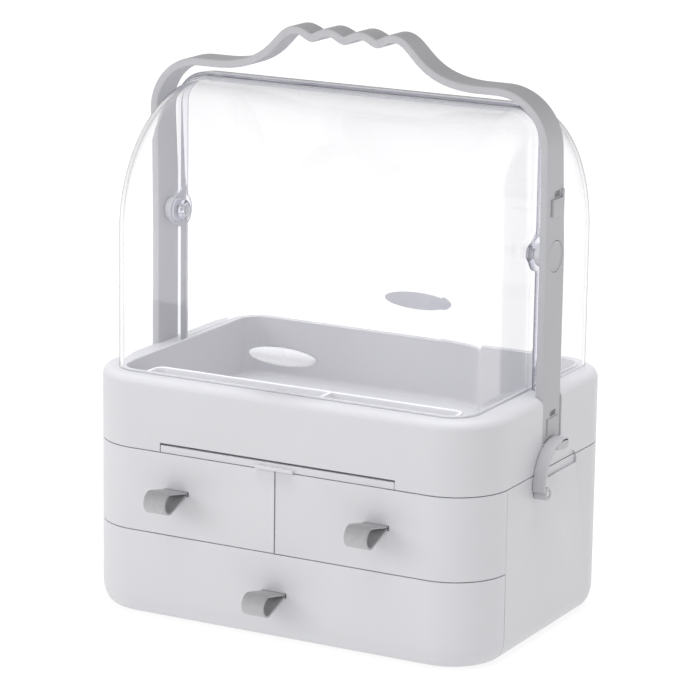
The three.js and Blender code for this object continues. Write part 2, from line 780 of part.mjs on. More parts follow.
function handle() {
  const halfDepth = handleWidth / 2 + gripLean;
  const strip = solid(plateForward(handleOutline(), 2 * halfDepth).translate(0, halfDepth, 0));
  const clips = [];
  const cuts = [rodAcross(pinRadius + fitGap, [-far, far], 0, pivotHeight)];
  for (const side of [-1, 1]) {
    const counterbore = sided(side, legOuter - pinHeadThickness - fitGap, legOuter + overrun);
    cuts.push(rodAcross(pinHeadRadius + fitGap, counterbore, 0, pivotHeight));
    const screwX = sided(side, legInner - overrun, legInner + screwBite + fitGap);
    cuts.push(...screwPlaces().map((z) => rodAcross(screwRadius + fitGap, screwX, 0, z)));
    clips.push(legClip(side, upperClipShift, upperClipLow, upperClipProud));
    clips.push(legClip(side, lowerClipShift, lowerClipLow, lowerClipProud));
  }
  const raised = clips.map((clip) => clip.raised);
  const notches = clips.map((clip) => clip.notch);
  return cut(join(strip, ...raised).intersect(handleSide()), ...notches, ...cuts);
}

// The screws that hold a leg in its pocket, driven outwards from inside the band
function legScrews(side) {
  const word = side > 0 ? "right" : "left";
  const seat = legInner - fitGap - legPocketWall - fitGap;
  const tip = legInner + screwBite;
  const profile = [
    [0, seat - screwHeadHeight],
    [screwHeadRadius, seat - screwHeadHeight],
    [screwHeadRadius, seat],
    [screwRadius, seat],
    [screwRadius, tip],
    [0, tip],
  ];
  const places = screwPlaces().map((z, i) => {
    const level = i === 0 ? "lower" : "upper";
    const screw = piece(`${word}_leg_screw_${level}`, turnedAcross(profile, side, 0, 0, 0), steel);
    screw.position.set(0, 0, z);
    return screw;
  });
  return assembly(...places);
}

// The curved latch lever: a blade bent about the latch centre, a short top plate and the pivot barrel
function latchLever(side) {
  const x = sided(side, sideFace + fitGap, sideFace + fitGap + latchReach);
  const ring = (radius, span) => {
    const circle = new THREE.Shape().absarc(0, latchCentreHeight, radius, 0, 2 * Math.PI);
    return plateAcross(circle, span, roundSteps);
  };
  const wide = [-far, far];
  const band = cut(ring(latchRadius, x), ring(latchRadius - latchBlade, wide));
  const quarter = block(wide, [-far, latchTopLength], [latchPivotHeight, far]);
  const blade = band.intersect(quarter).subtract(beyond(1, latchTopLength, 1));
  const plateX = sided(side, sideFace + fitGap + latchReach - latchBlade, sideFace + fitGap + latchReach);
  const plateLow = latchCentreHeight + latchRadius - latchTopDepth;
  const plateSpan = block(wide, [-latchTopLength, latchTopLength], [plateLow, far]);
  const plate = ring(latchRadius, plateX).intersect(plateSpan);
  const barrel = rodAcross(latchBarrelRadius, x, latchPivotY, latchPivotHeight);
  const bore = rodAcross(latchPinRadius + fitGap, wide, latchPivotY, latchPivotHeight);
  return cut(join(blade, plate, barrel), bore);
}

function latch(side) {
  const word = side > 0 ? "right" : "left";
  const pinX = sided(side, sideFace - casingWall - latchBossDepth, sideFace + latchReach);
  return assembly(
    piece(`${word}_latch_lever`, latchLever(side), handleGrey),
    piece(`${word}_latch_pin`, rodAcross(latchPinRadius, pinX, latchPivotY, latchPivotHeight), steel),
  );
}

const organiser = assembly(
  drawerBase(),
  drawers(),
  assembly(
    piece("top_tray", topTray(), shellWhite),
    piece("tray_divider", trayDivider(), innerWhite),
    mirrorBoard(),
  ),
  assembly(piece("handle", handle(), handleGrey), legScrews(-1), legScrews(1)),
  covers(),
  latch(-1),
  latch(1),
);

// The origin is under the middle of the whole footprint, pull loops included
organiser.position.set(0, pullReach / 2, 0);

export default organiser;
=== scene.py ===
"""Looks of the dustproof make-up organiser: fine surfaces, finishes, studio and camera.

Lengths are in millimetres until a surface becomes a mesh, which is in metres. +X runs right along the
front, +Y to the back and +Z up. The drawings are about the middle of the casing, which stands
FOOTPRINT_SHIFT behind the frame's origin because the pull loops count in the footprint.
"""

import json
import logging
import math
from collections.abc import Sequence
from dataclasses import dataclass, field
from enum import Enum

import bmesh
import bpy
import numpy as np
from mathutils import Matrix, Vector

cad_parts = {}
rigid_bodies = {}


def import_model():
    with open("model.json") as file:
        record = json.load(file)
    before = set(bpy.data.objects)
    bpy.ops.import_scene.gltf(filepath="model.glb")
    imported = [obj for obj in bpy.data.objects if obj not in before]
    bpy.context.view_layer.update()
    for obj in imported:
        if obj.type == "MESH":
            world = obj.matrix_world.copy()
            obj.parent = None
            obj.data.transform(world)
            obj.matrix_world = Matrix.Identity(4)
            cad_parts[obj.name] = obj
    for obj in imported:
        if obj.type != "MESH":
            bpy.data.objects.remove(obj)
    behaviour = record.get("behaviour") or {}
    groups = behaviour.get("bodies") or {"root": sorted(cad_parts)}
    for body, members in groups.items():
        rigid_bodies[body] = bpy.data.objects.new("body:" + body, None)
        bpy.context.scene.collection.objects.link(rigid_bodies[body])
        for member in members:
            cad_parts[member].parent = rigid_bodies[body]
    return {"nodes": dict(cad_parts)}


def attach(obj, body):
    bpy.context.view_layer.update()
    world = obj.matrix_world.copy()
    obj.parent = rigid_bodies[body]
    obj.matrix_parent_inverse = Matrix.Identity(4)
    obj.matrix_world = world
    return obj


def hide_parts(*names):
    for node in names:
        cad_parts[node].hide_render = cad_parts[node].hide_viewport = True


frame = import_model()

Array = np.ndarray
Colour = tuple[float, float, float]
Span = tuple[float, float]
log = logging.getLogger("organiser")

FOOTPRINT_SHIFT = 14.0
MILLIMETRE = 0.001

LEAST_RADIUS = 0.02  # of a corner whose inset leaves it none
AXIS_RADIUS = 0.01  # of a turned body where its profile meets the axis
POLE_SHARE = 1e-3  # of a lens's half length, at its poles
LAP = 3.0  # how far the section of a rounded edge runs on down its walls
OVERRUN = 5.0  # how far a cutter stands out of what it cuts
WELD = 2e-6  # points closer than this become one, in metres
SLIVER = 1e-6  # edges shorter than this go, in metres
SOFT_STEPS = 3  # pieces across a softened edge

RIGHT = np.array([1.0, 0.0, 0.0])
BACK = np.array([0.0, 1.0, 0.0])
UP = np.array([0.0, 0.0, 1.0])
MIRROR = np.array([-1.0, 1.0, 1.0])


class Slot(Enum):
    """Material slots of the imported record."""

    SHELL = "shell_white"
    INNER = "inner_white"
    HANDLE = "handle_grey"
    STRAP = "strap_grey"
    CLEAR = "clear_plastic"
    FROSTED = "frosted_plastic"
    MIRROR = "mirror_silver"
    STEEL = "steel"
    RUBBER = "rubber_grey"


class Side(Enum):
    """Left and right hand of the organiser, as seen from the front."""

    LEFT = -1
    RIGHT = 1

    @property
    def word(self) -> str:
        """The side's name as the pieces spell it."""
        return self.name.lower()


# ---------------------------------------------------------------------------------------------------
# Surfaces
# ---------------------------------------------------------------------------------------------------


def points_of(*coordinates: Array | float) -> Array:
    """Spreads coordinates to one shape and stacks them into points."""
    return np.stack(np.broadcast_arrays(*coordinates), axis=-1)


def headings(line: Array) -> Array:
    """The unit direction of a line at each of its points."""
    step = np.gradient(line, axis=0)
    return step / np.linalg.norm(step, axis=1, keepdims=True)


def grid_faces(rows: int, columns: int, wrap_rows: bool = False, wrap_columns: bool = False) -> Array:
    """Quads between neighbouring points of a grid that is stored row by row.

    Args:
        rows: number of rows.
        columns: number of points in a row.
        wrap_rows: joins the last row to the first.
        wrap_columns: joins each row's last point to its first.

    Returns:
        One row of four point numbers for each quad.
    """
    r = np.arange(rows if wrap_rows else rows - 1)
    c = np.arange(columns if wrap_columns else columns - 1)
    row, column = np.meshgrid(r, c, indexing="ij")
    below, beside = (row + 1) % rows, (column + 1) % columns
    quads = [row * columns + column, below * columns + column, below * columns + beside,
             row * columns + beside]
    return np.stack(quads, axis=-1).reshape(-1, 4)


@dataclass
class Surface:
    """A closed skin: points in millimetres, and faces as arrays of point numbers."""

    points: Array
    faces: list[Array]

    @classmethod
    def grid(cls, points: Array, wrap_rows: bool = False) -> "Surface":
        """Skins rows of points, each a closed loop, and closes the two end rows with a flat face each.

        Args:
            points: rows by columns by three.
            wrap_rows: joins the last row to the first, which leaves no end rows.

        Returns:
            The surface, facing outwards.
        """
        rows, columns = points.shape[:2]
        faces = [grid_faces(rows, columns, wrap_rows, wrap_columns=True)]
        if not wrap_rows:
            faces.append(np.arange(columns)[::-1][None, :])
            faces.append(((rows - 1) * columns + np.arange(columns))[None, :])
        return cls(points.reshape(-1, 3), faces).facing_out()

    @classmethod
    def plate(cls, outside: Array, inside: Array) -> "Surface":
        """A sheet with thickness: two grids of the same shape, joined all round their borders.

        Args:
            outside: rows by columns by three, one face of the sheet.
            inside: the other face, point for point.

        Returns:
            The closed sheet, facing outwards.
        """
        rows, columns = outside.shape[:2]
        numbers = np.arange(rows * columns).reshape(rows, columns)
        border = np.concatenate([numbers[0, :-1], numbers[:-1, -1], numbers[-1, :0:-1], numbers[:0:-1, 0]])
        beyond = np.roll(border, -1)
        count = rows * columns
        skin = grid_faces(rows, columns)
        rim = np.stack([beyond, border, border + count, beyond + count], axis=-1)
        points = np.concatenate([outside.reshape(-1, 3), inside.reshape(-1, 3)])
        return cls(points, [skin, skin[:, ::-1] + count, rim[:, ::-1]]).facing_out()

    def volume(self) -> float:
        """Signed volume: the sum of the tetrahedra from the origin to a fan of each face."""
        total = 0.0
        for faces in self.faces:
            a = self.points[faces[:, 0]]
            for k in range(1, faces.shape[1] - 1):
                b, c = self.points[faces[:, k]], self.points[faces[:, k + 1]]
                total += float(np.einsum("ij,ij->i", a, np.cross(b, c)).sum()) / 6
        return total

    def facing_out(self) -> "Surface":
        """The same skin with its faces turned to look away from what it encloses."""
        if self.volume() < 0:
            self.faces = [faces[:, ::-1] for faces in self.faces]
        return self

    def joined(self, *others: "Surface") -> "Surface":
        """This skin and the others as one, each still closed by itself."""
        points, faces, start = [self.points], list(self.faces), len(self.points)
        for other in others:
            points.append(other.points)
            faces += [f + start for f in other.faces]
            start += len(other.points)
        return Surface(np.concatenate(points), faces)

    def mirrored(self, side: Side) -> "Surface":
        """A copy on that side of the middle: itself on the right, its mirror image on the left."""
        if side is Side.RIGHT:
            return self
        return Surface(self.points * MIRROR, [f[:, ::-1] for f in self.faces])


def filleted(corners: Sequence[tuple[float, float, float]], closed: bool = True, steps: int = 5) -> Array:
    """A line through corners, each rounded by an arc that touches both of its edges.

    The arc of radius r at a corner with half angle a starts r / tan(a) from the corner on each edge.

    Args:
        corners: two coordinates and a radius for each corner; a radius of 0 keeps the corner.
        closed: the line returns to its start; otherwise its ends are kept.
        steps: pieces in each arc.

    Returns:
        Points of the line, one row each.
    """
    points = np.array([c[:2] for c in corners], float)
    line: list[Array] = []
    for i, (_, _, radius) in enumerate(corners):
        here = points[i]
        if radius <= 0 or (not closed and i in (0, len(corners) - 1)):
            line.append(here[None, :])
            continue
        back = points[i - 1] - here
        on = points[(i + 1) % len(points)] - here
        back, on = back / np.linalg.norm(back), on / np.linalg.norm(on)
        half = math.acos(float(np.clip(back @ on, -1, 1))) / 2
        middle = (back + on) / np.linalg.norm(back + on)
        centre = here + middle * radius / math.sin(half)
        first = here + back * radius / math.tan(half) - centre
        last = here + on * radius / math.tan(half) - centre
        share = np.linspace(0, 1, steps + 1)[:, None]
        sweep = math.pi - 2 * half
        arc = (np.sin((1 - share) * sweep) * first + np.sin(share * sweep) * last) / math.sin(sweep)
        line.append(centre + arc)
    return np.concatenate(line)


@dataclass(frozen=True)
class Plan:
    """A rectangle seen from above with four corner radii, back right first and then anticlockwise."""

    left: float
    right: float
    front: float
    back: float
    radii: tuple[float, float, float, float]

    def loop(self, inset: float = 0.0, steps: int = 20) -> Array:
        """The outline pulled in by an inset: quarter circles about the corners' centres, radius less inset.

        Args:
            inset: distance inwards from the full outline.
            steps: pieces in each quarter circle.

        Returns:
            Points in X and Y, anticlockwise, the same number whatever the inset.
        """
        signs = np.array([[1, 1], [-1, 1], [-1, -1], [1, -1]], float)
        far = np.array([[self.right, self.back], [self.left, self.back], [self.left, self.front],
                        [self.right, self.front]])
        radii = np.array(self.radii)
        centres = far - signs * radii[:, None]
        start = np.arange(4) * math.pi / 2
        turn = start[:, None] + np.linspace(0, math.pi / 2, steps + 1)[None, :]
        small = np.maximum(radii - inset, LEAST_RADIUS)
        shift = signs * (radii - inset - small)[:, None]
        ring = points_of(np.cos(turn), np.sin(turn)) * small[:, None, None]
        return (ring + (centres + shift)[:, None, :]).reshape(-1, 2)


def stacked(levels: Sequence[tuple[Plan, Array]], steps: int = 20) -> Surface:
    """Skins plan outlines one over the other: row k is the outline at the k-th inset, lifted to its height.

    Args:
        levels: a plan with the (inset, height) rows that use it, in the order of the skin.
        steps: pieces in each corner.

    Returns:
        The body, closed by its first and last outline.
    """
    rows = [
        np.column_stack([plan.loop(inset, steps), np.full(4 * (steps + 1), height)])
        for plan, profile in levels
        for inset, height in profile
    ]
    return Surface.grid(np.stack(rows))


def slab(plan: Plan, low: float, high: float, edge: float = 0.4, steps: int = 12) -> Surface:
    """A plate of that plan whose upper and lower edges are rounded."""
    lap = 3 * edge
    profile = filleted([(lap, low, 0), (0, low, edge), (0, high, edge), (lap, high, 0)], closed=False)
    return stacked([(plan, profile)], steps)


def box(x: Span, y: Span, z: Span, edge: float = 0.3) -> Surface:
    """A block between limits with all its edges rounded."""
    return slab(Plan(*x, *y, (2 * edge,) * 4), *z, edge, steps=3)


def rounded_bar(half_width: float, half_height: float, edge: float, steps: int) -> Array:
    """The section of a bar: a rectangle about the origin with rounded corners."""
    w, h = half_width, half_height
    return filleted([(-w, -h, edge), (w, -h, edge), (w, h, edge), (-w, h, edge)], steps=steps)


def along_path(path: Array, across: Array, up: Array, section: Array) -> Surface:
    """Carries a closed section along a path: point = path + section u times across + section v times up.

    Args:
        path: stations by three, the line that the section's origin follows.
        across: the direction of the section's first coordinate, one or one for each station.
        up: the direction of its second coordinate, in the same way.
        section: corners by two, or stations by corners by two where it changes on the way.

    Returns:
        The closed bar with flat ends.
    """
    if section.ndim == 2:
        section = np.broadcast_to(section, (len(path), *section.shape))
    across, up = (np.broadcast_to(way, path.shape)[:, None, :] for way in (across, up))
    return Surface.grid(path[:, None, :] + section[..., :1] * across + section[..., 1:] * up)


def turned(profile: Array, start: tuple[float, float, float], steps: int = 64, upright: bool = False,
           ring: bool = False) -> Surface:
    """Turns a (radius, along) profile about an axis: point = axis + radius round it, along it.

    Args:
        profile: rows of radius and distance along the axis; the ends may lie on the axis.
        start: where the axis starts.
        steps: pieces round the axis.
        upright: the axis runs up; otherwise it runs to the right.
        ring: the profile is a closed loop clear of the axis.

    Returns:
        The turned body.
    """
    turn = np.linspace(0, 2 * math.pi, steps, endpoint=False)
    radius, along = np.maximum(profile[:, :1], AXIS_RADIUS), profile[:, 1:]
    a, b = radius * np.cos(turn), radius * np.sin(turn)
    points = points_of(a, b, along) if upright else points_of(along, a, b)
    return Surface.grid(points + np.array(start), wrap_rows=ring)


def lens(half: tuple[float, float, float], power: float, rows: int = 28, columns: int = 96) -> Surface:
    """A lens lying in X and Z that bulges in -Y: a superellipsoid of the given halves.

    With latitude p and longitude q its points are half x times cos p cos q, half y times sin p and half z
    times cos p sin q, where sin p is raised to the power, so a higher power flattens the face.

    Args:
        half: half length, bulge and half height.
        power: flatness of the face.
        rows: rings from the rim to the pole.
        columns: points round a ring.

    Returns:
        The closed lens about the origin.
    """
    p = np.linspace(-math.pi / 2, math.pi / 2, rows)[:, None]
    q = np.linspace(0, 2 * math.pi, columns, endpoint=False)[None, :]
    reach = np.sign(np.sin(p)) * np.abs(np.sin(p)) ** power
    ring = np.maximum(np.cos(p), POLE_SHARE)
    return Surface.grid(points_of(half[0] * ring * np.cos(q), half[1] * reach, half[2] * ring * np.sin(q)))


# ---------------------------------------------------------------------------------------------------
# Meshes
# ---------------------------------------------------------------------------------------------------


def mesh_object(name: str, surface: Surface) -> bpy.types.Object:
    """Makes a mesh object at the origin from a surface, in metres, with doubled points merged.

    Args:
        name: the piece's name.
        surface: the skin in millimetres about the casing's middle.

    Returns:
        The new object, linked to the scene.
    """
    mesh = bpy.data.meshes.new(name)
    points = (surface.points + np.array([0.0, FOOTPRINT_SHIFT, 0.0])) * MILLIMETRE
    mesh.from_pydata(points.tolist(), [], [f for group in surface.faces for f in group.tolist()])
    work = bmesh.new()
    work.from_mesh(mesh)
    bmesh.ops.remove_doubles(work, verts=work.verts, dist=WELD)
    bmesh.ops.dissolve_degenerate(work, edges=work.edges, dist=SLIVER)
    work.to_mesh(mesh)
    work.free()
    item = bpy.data.objects.new(name, mesh)
    bpy.context.scene.collection.objects.link(item)
    return item


def settle(item: bpy.types.Object) -> None:
    """Bakes an object's modifiers into its mesh."""
    evaluated = item.evaluated_get(bpy.context.evaluated_depsgraph_get())
    baked = bpy.data.meshes.new_from_object(evaluated)
    item.modifiers.clear()
    item.data = baked


def carve(item: bpy.types.Object, *cutters: Surface) -> None:
    """Cuts closed surfaces that don't meet one another out of an object, in one exact boolean."""
    tool = mesh_object("cutter", cutters[0].joined(*cutters[1:]))
    cut = item.modifiers.new("cut", "BOOLEAN")
    cut.operation, cut.solver, cut.object = "DIFFERENCE", "EXACT", tool
    settle(item)
    bpy.data.objects.remove(tool)


def merge(item: bpy.types.Object, *others: bpy.types.Object) -> None:
    """Moves the meshes of other objects into one object; each keeps its own closed skin."""
    with bpy.context.temp_override(active_object=item, selected_editable_objects=[item, *others]):
        bpy.ops.object.join()


def soften(item: bpy.types.Object, width: float, angle: float = 50.0) -> None:
    """Rounds the edges that are sharper than an angle in degrees, by a width in millimetres."""
    bevel = item.modifiers.new("soft edges", "BEVEL")
    bevel.width, bevel.segments = width * MILLIMETRE, SOFT_STEPS
    bevel.limit_method, bevel.angle_limit = "ANGLE", math.radians(angle)
    settle(item)


# ---------------------------------------------------------------------------------------------------
# Finishes
# ---------------------------------------------------------------------------------------------------


class Graph:
    """A material's node tree, with short calls for adding and linking nodes."""

    MIDDLE_RANGE = (0.3, 0.7)
    COLOUR_A, COLOUR_B, COLOUR_RESULT = 6, 7, 2

    def __init__(self, name: str) -> None:
        """Starts an empty tree with an output node."""
        self.material = bpy.data.materials.new(name)
        self.material.use_nodes = True
        self.tree = self.material.node_tree
        self.tree.nodes.clear()
        self.output = self.node("ShaderNodeOutputMaterial")
        self.place = self.node("ShaderNodeTexCoord").outputs["Object"]

    def node(self, kind: str, **settings: object) -> bpy.types.Node:
        """Adds a node and sets its properties."""
        made = self.tree.nodes.new(kind)
        for key, value in settings.items():
            setattr(made, key, value)
        return made

    def link(self, source: bpy.types.NodeSocket, target: bpy.types.NodeSocket) -> None:
        """Joins an output to an input."""
        self.tree.links.new(source, target)

    def noise(self, scale: float, detail: float, roughness: float = 0.5,
              stretch: tuple[float, float, float] = (1.0, 1.0, 1.0)) -> bpy.types.NodeSocket:
        """Cloudy noise on the piece's own coordinates.

        Args:
            scale: cells in a metre.
            detail: octaves.
            roughness: weight of the finer octaves.
            stretch: scale on each axis.

        Returns:
            The noise value socket.
        """
        made = self.node("ShaderNodeTexNoise")
        made.inputs["Scale"].default_value = scale
        made.inputs["Detail"].default_value = detail
        made.inputs["Roughness"].default_value = roughness
        mapping = self.node("ShaderNodeMapping")
        mapping.inputs["Scale"].default_value = stretch
        self.link(self.place, mapping.inputs["Vector"])
        self.link(mapping.outputs["Vector"], made.inputs["Vector"])
        return made.outputs["Fac"]

    def cells(self, scale: float) -> bpy.types.NodeSocket:
        """Distance to the nearest of scattered points, for pebbled grain."""
        made = self.node("ShaderNodeTexVoronoi", feature="F1")
        made.inputs["Scale"].default_value = scale
        self.link(self.place, made.inputs["Vector"])
        return made.outputs["Distance"]

    def spread(self, source: bpy.types.NodeSocket, low: float, high: float) -> bpy.types.NodeSocket:
        """Maps a pattern's middle range to low and high."""
        made = self.node("ShaderNodeMapRange")
        made.inputs["From Min"].default_value, made.inputs["From Max"].default_value = self.MIDDLE_RANGE
        made.inputs["To Min"].default_value, made.inputs["To Max"].default_value = low, high
        self.link(source, made.inputs["Value"])
        return made.outputs["Result"]

    def tint(self, source: bpy.types.NodeSocket, dark: Colour, light: Colour) -> bpy.types.NodeSocket:
        """Mixes two colours by a pattern."""
        made = self.node("ShaderNodeMix", data_type="RGBA")
        made.inputs[self.COLOUR_A].default_value = (*dark, 1.0)
        made.inputs[self.COLOUR_B].default_value = (*light, 1.0)
        self.link(source, made.inputs["Factor"])
        return made.outputs[self.COLOUR_RESULT]

    def arithmetic(self, operation: str, first: bpy.types.NodeSocket,
                   second: bpy.types.NodeSocket | float) -> bpy.types.NodeSocket:
        """Works out one value from a socket and a second socket or a number."""
        made = self.node("ShaderNodeMath", operation=operation)
        self.link(first, made.inputs[0])
        if isinstance(second, float):
            made.inputs[1].default_value = second
        else:
            self.link(second, made.inputs[1])
        return made.outputs[0]

    def bump(self, height: bpy.types.NodeSocket, strength: float, depth: float,
             under: bpy.types.NodeSocket | None = None) -> bpy.types.NodeSocket:
        """A bump normal from a pattern.

        Args:
            height: the pattern.
            strength: how much of the bump shows.
            depth: height of the pattern in metres.
            under: a coarser bump that this one lies on.

        Returns:
            The normal socket.
        """
        made = self.node("ShaderNodeBump")
        made.inputs["Strength"].default_value = strength
        made.inputs["Distance"].default_value = depth
        self.link(height, made.inputs["Height"])
        if under is not None:
            self.link(under, made.inputs["Normal"])
        return made.outputs["Normal"]

    def shader(self, **sockets: float | tuple[float, ...]) -> bpy.types.Node:
        """A principled shader on the output; its sockets' names have _ for each space."""
        made = self.node("ShaderNodeBsdfPrincipled")
        for socket, value in sockets.items():
            made.inputs[socket.replace("_", " ")].default_value = value
        self.link(made.outputs["BSDF"], self.output.inputs["Surface"])
        return made

    def pattern(self, body: bpy.types.Node, tones: tuple[Colour, Colour], mottle: bpy.types.NodeSocket,
                roughness: Span, wear: bpy.types.NodeSocket, normal: bpy.types.NodeSocket) -> None:
        """Gives a shader its patterned colour, roughness and relief.

        Args:
            body: the shader.
            tones: the darkest and the lightest colour.
            mottle: the pattern between the tones.
            roughness: the lowest and the highest roughness.
            wear: the pattern between them.
            normal: the relief.
        """
        self.link(self.tint(self.spread(mottle, 0.0, 1.0), *tones), body.inputs["Base Color"])
        self.link(self.spread(wear, *roughness), body.inputs["Roughness"])
        self.link(normal, body.inputs["Normal"])


@dataclass(frozen=True)
class MouldedPlastic:
    """Injection-moulded plastic: faint mottling, spark-eroded grain and slight sink waves."""

    name: str
    dark: Colour
    light: Colour
    roughness: Span
    grain: float = 1400.0
    grain_depth: float = 0.00002
    grain_strength: float = 0.25
    gloss: float = 0.5

    def build(self) -> bpy.types.Material:
        """Builds the material's nodes."""
        graph = Graph(self.name)
        sink = graph.bump(graph.noise(scale=16.0, detail=1.0), strength=0.06, depth=0.0006)
        grain = graph.noise(scale=self.grain, detail=2.0, roughness=0.6)
        graph.pattern(
            graph.shader(Specular_IOR_Level=self.gloss),
            (self.dark, self.light), graph.noise(scale=9.0, detail=4.0, roughness=0.6),
            self.roughness, graph.noise(scale=34.0, detail=3.0),
            graph.bump(grain, self.grain_strength, self.grain_depth, under=sink),
        )
        return graph.material


@dataclass(frozen=True)
class ClearPlastic:
    """Polished clear plastic that bends light, with a painted grey shade where it is seen along its skin.

    Shadows and bounced light go straight through it, and so does light that is caught between its walls.
    """

    name: str
    tint: Colour
    # edge: painted grey shade mixed in where the skin is seen edge on; caught_tint greys the light let out
    # from between the walls, a painted shade too
    edge: Colour
    index: float = 1.49
    rim_power: float = 6.0
    caught_after: float = 4.5
    caught_tint: Colour = (0.93, 0.93, 0.96)
    straight_tint: Colour = (0.97, 0.97, 0.98)

    def build(self) -> bpy.types.Material:
        """Builds the material's nodes."""
        graph = Graph(self.name)
        body = graph.shader(Roughness=0.0, Transmission_Weight=1.0, IOR=self.index,
                            Base_Color=(*self.tint, 1.0))
        sag = graph.bump(graph.noise(scale=7.0, detail=1.0), strength=0.05, depth=0.0008)
        graph.link(sag, body.inputs["Normal"])
        edge_shade_mask = graph.node("ShaderNodeLayerWeight")
        edge_shade_mask.inputs["Blend"].default_value = 0.5
        ray = graph.node("ShaderNodeLightPath").outputs
        layers = (
            # painted grey shade, strongest where the skin is seen edge on
            (graph.arithmetic("POWER", edge_shade_mask.outputs["Facing"], self.rim_power), self.edge),
            (graph.arithmetic("GREATER_THAN", ray["Ray Depth"], self.caught_after), self.caught_tint),
            (graph.arithmetic("MAXIMUM", ray["Is Shadow Ray"], ray["Is Diffuse Ray"]), self.straight_tint),
        )
        shell = body.outputs["BSDF"]
        for share, colour in layers:
            through = graph.node("ShaderNodeBsdfTransparent")
            through.inputs["Color"].default_value = (*colour, 1.0)
            choice = graph.node("ShaderNodeMixShader")
            graph.link(share, choice.inputs["Fac"])
            graph.link(shell, choice.inputs[1])
            graph.link(through.outputs["BSDF"], choice.inputs[2])
            shell = choice.outputs["Shader"]
        graph.link(shell, graph.output.inputs["Surface"])
        return graph.material


@dataclass(frozen=True)
class FrostedPlastic:
    """Milky plastic with a thin coat over a softly grained skin."""

    name: str
    colour: Colour
    dull_share: float = 0.93
    index: float = 1.49

    def build(self) -> bpy.types.Material:
        """Builds the material's nodes."""
        graph = Graph(self.name)
        dull = tuple(self.dull_share * c for c in self.colour)
        graph.pattern(
            graph.shader(IOR=self.index, Coat_Weight=0.25, Coat_Roughness=0.2),
            (dull, self.colour), graph.noise(scale=60.0, detail=3.0),
            (0.18, 0.3), graph.noise(scale=180.0, detail=2.0),
            graph.bump(graph.noise(scale=900.0, detail=2.0), strength=0.03, depth=0.00001),
        )
        return graph.material


@dataclass(frozen=True)
class StrapHide:
    """Smooth coated strap with a pebbled grain."""

    name: str
    dark: Colour
    light: Colour

    def build(self) -> bpy.types.Material:
        """Builds the material's nodes."""
        graph = Graph(self.name)
        pebbles = graph.bump(graph.cells(1500.0), strength=0.22, depth=0.00006)
        fine = graph.noise(scale=4200.0, detail=3.0)
        graph.pattern(
            graph.shader(Sheen_Weight=0.15, Sheen_Roughness=0.5),
            (self.dark, self.light), graph.noise(scale=240.0, detail=5.0, roughness=0.65),
            (0.48, 0.62), graph.noise(scale=420.0, detail=3.0),
            graph.bump(fine, strength=0.15, depth=0.00002, under=pebbles),
        )
        return graph.material


@dataclass(frozen=True)
class DrawnSteel:
    """Drawn or polished metal with fine lines along X."""

    name: str
    colour: Colour
    roughness: Span
    line_strength: float
    dull_share: float = 0.9

    def build(self) -> bpy.types.Material:
        """Builds the material's nodes."""
        graph = Graph(self.name)
        dull = tuple(self.dull_share * c for c in self.colour)
        lines = graph.noise(scale=2600.0, detail=2.0, stretch=(0.06, 1.0, 1.0))
        graph.pattern(
            graph.shader(Metallic=1.0),
            (dull, self.colour), graph.noise(scale=50.0, detail=3.0),
            self.roughness, lines,
            graph.bump(lines, self.line_strength, depth=0.00001),
        )
        return graph.material


@dataclass(frozen=True)
class FootRubber:
    """Matte rubber with a fine dusty grain."""

    name: str
    dark: Colour
    light: Colour

    def build(self) -> bpy.types.Material:
        """Builds the material's nodes."""
        graph = Graph(self.name)
        graph.pattern(
            graph.shader(),
            (self.dark, self.light), graph.noise(scale=700.0, detail=4.0),
            (0.75, 0.92), graph.noise(scale=300.0, detail=2.0),
            graph.bump(graph.noise(scale=2400.0, detail=3.0), strength=0.35, depth=0.00004),
        )
        return graph.material


class Finishes:
    """Every finish of the organiser, built once and looked up by slot."""

    def __init__(self) -> None:
        """Builds all the materials."""
        kinds = {
            Slot.SHELL: MouldedPlastic("shell white", (0.56, 0.56, 0.582), (0.585, 0.585, 0.61),
                                       (0.34, 0.44)),
            # inner white is set much lighter than shell white: painted light that brightens the insides under
            # the covers, which get little light from above
            Slot.INNER: MouldedPlastic("inner white", (0.86, 0.86, 0.88), (0.88, 0.88, 0.9), (0.46, 0.56)),
            Slot.HANDLE: MouldedPlastic("handle grey", (0.475, 0.475, 0.493), (0.5, 0.5, 0.52), (0.5, 0.6),
                                        grain=1700.0, gloss=0.1),
            Slot.STRAP: StrapHide("strap grey", (0.36, 0.36, 0.375), (0.41, 0.41, 0.425)),
            # edge is a painted grey shade for where the clear skin is seen edge on
            Slot.CLEAR: ClearPlastic("clear plastic", tint=(0.99, 0.99, 0.995), edge=(0.2, 0.2, 0.24)),
            Slot.FROSTED: FrostedPlastic("frosted plastic", (0.62, 0.62, 0.645)),
            Slot.MIRROR: DrawnSteel("mirror silver", (0.9, 0.91, 0.92), (0.01, 0.03), line_strength=0.0),
            Slot.STEEL: DrawnSteel("steel", (0.55, 0.55, 0.57), (0.22, 0.4), line_strength=0.2),
            Slot.RUBBER: FootRubber("rubber grey", (0.2, 0.2, 0.21), (0.26, 0.26, 0.27)),
        }
        self.materials = {slot: kind.build() for slot, kind in kinds.items()}

    def dress(self, item: bpy.types.Object, slot: Slot) -> None:
        """Puts one finish on the whole of an object."""
        item.data.materials.clear()
        item.data.materials.append(self.materials[slot])
        item.data.polygons.foreach_set("material_index", np.zeros(len(item.data.polygons), np.int32))

    def dress_solid(self, node: str, slot: Slot) -> None:
        """Gives a node that keeps its own solid a finish."""
        solid = frame["nodes"][node]
        for place in solid.material_slots:
            place.material = self.materials[slot]
        log.info("%s keeps its solid, in %s", node, slot.value)


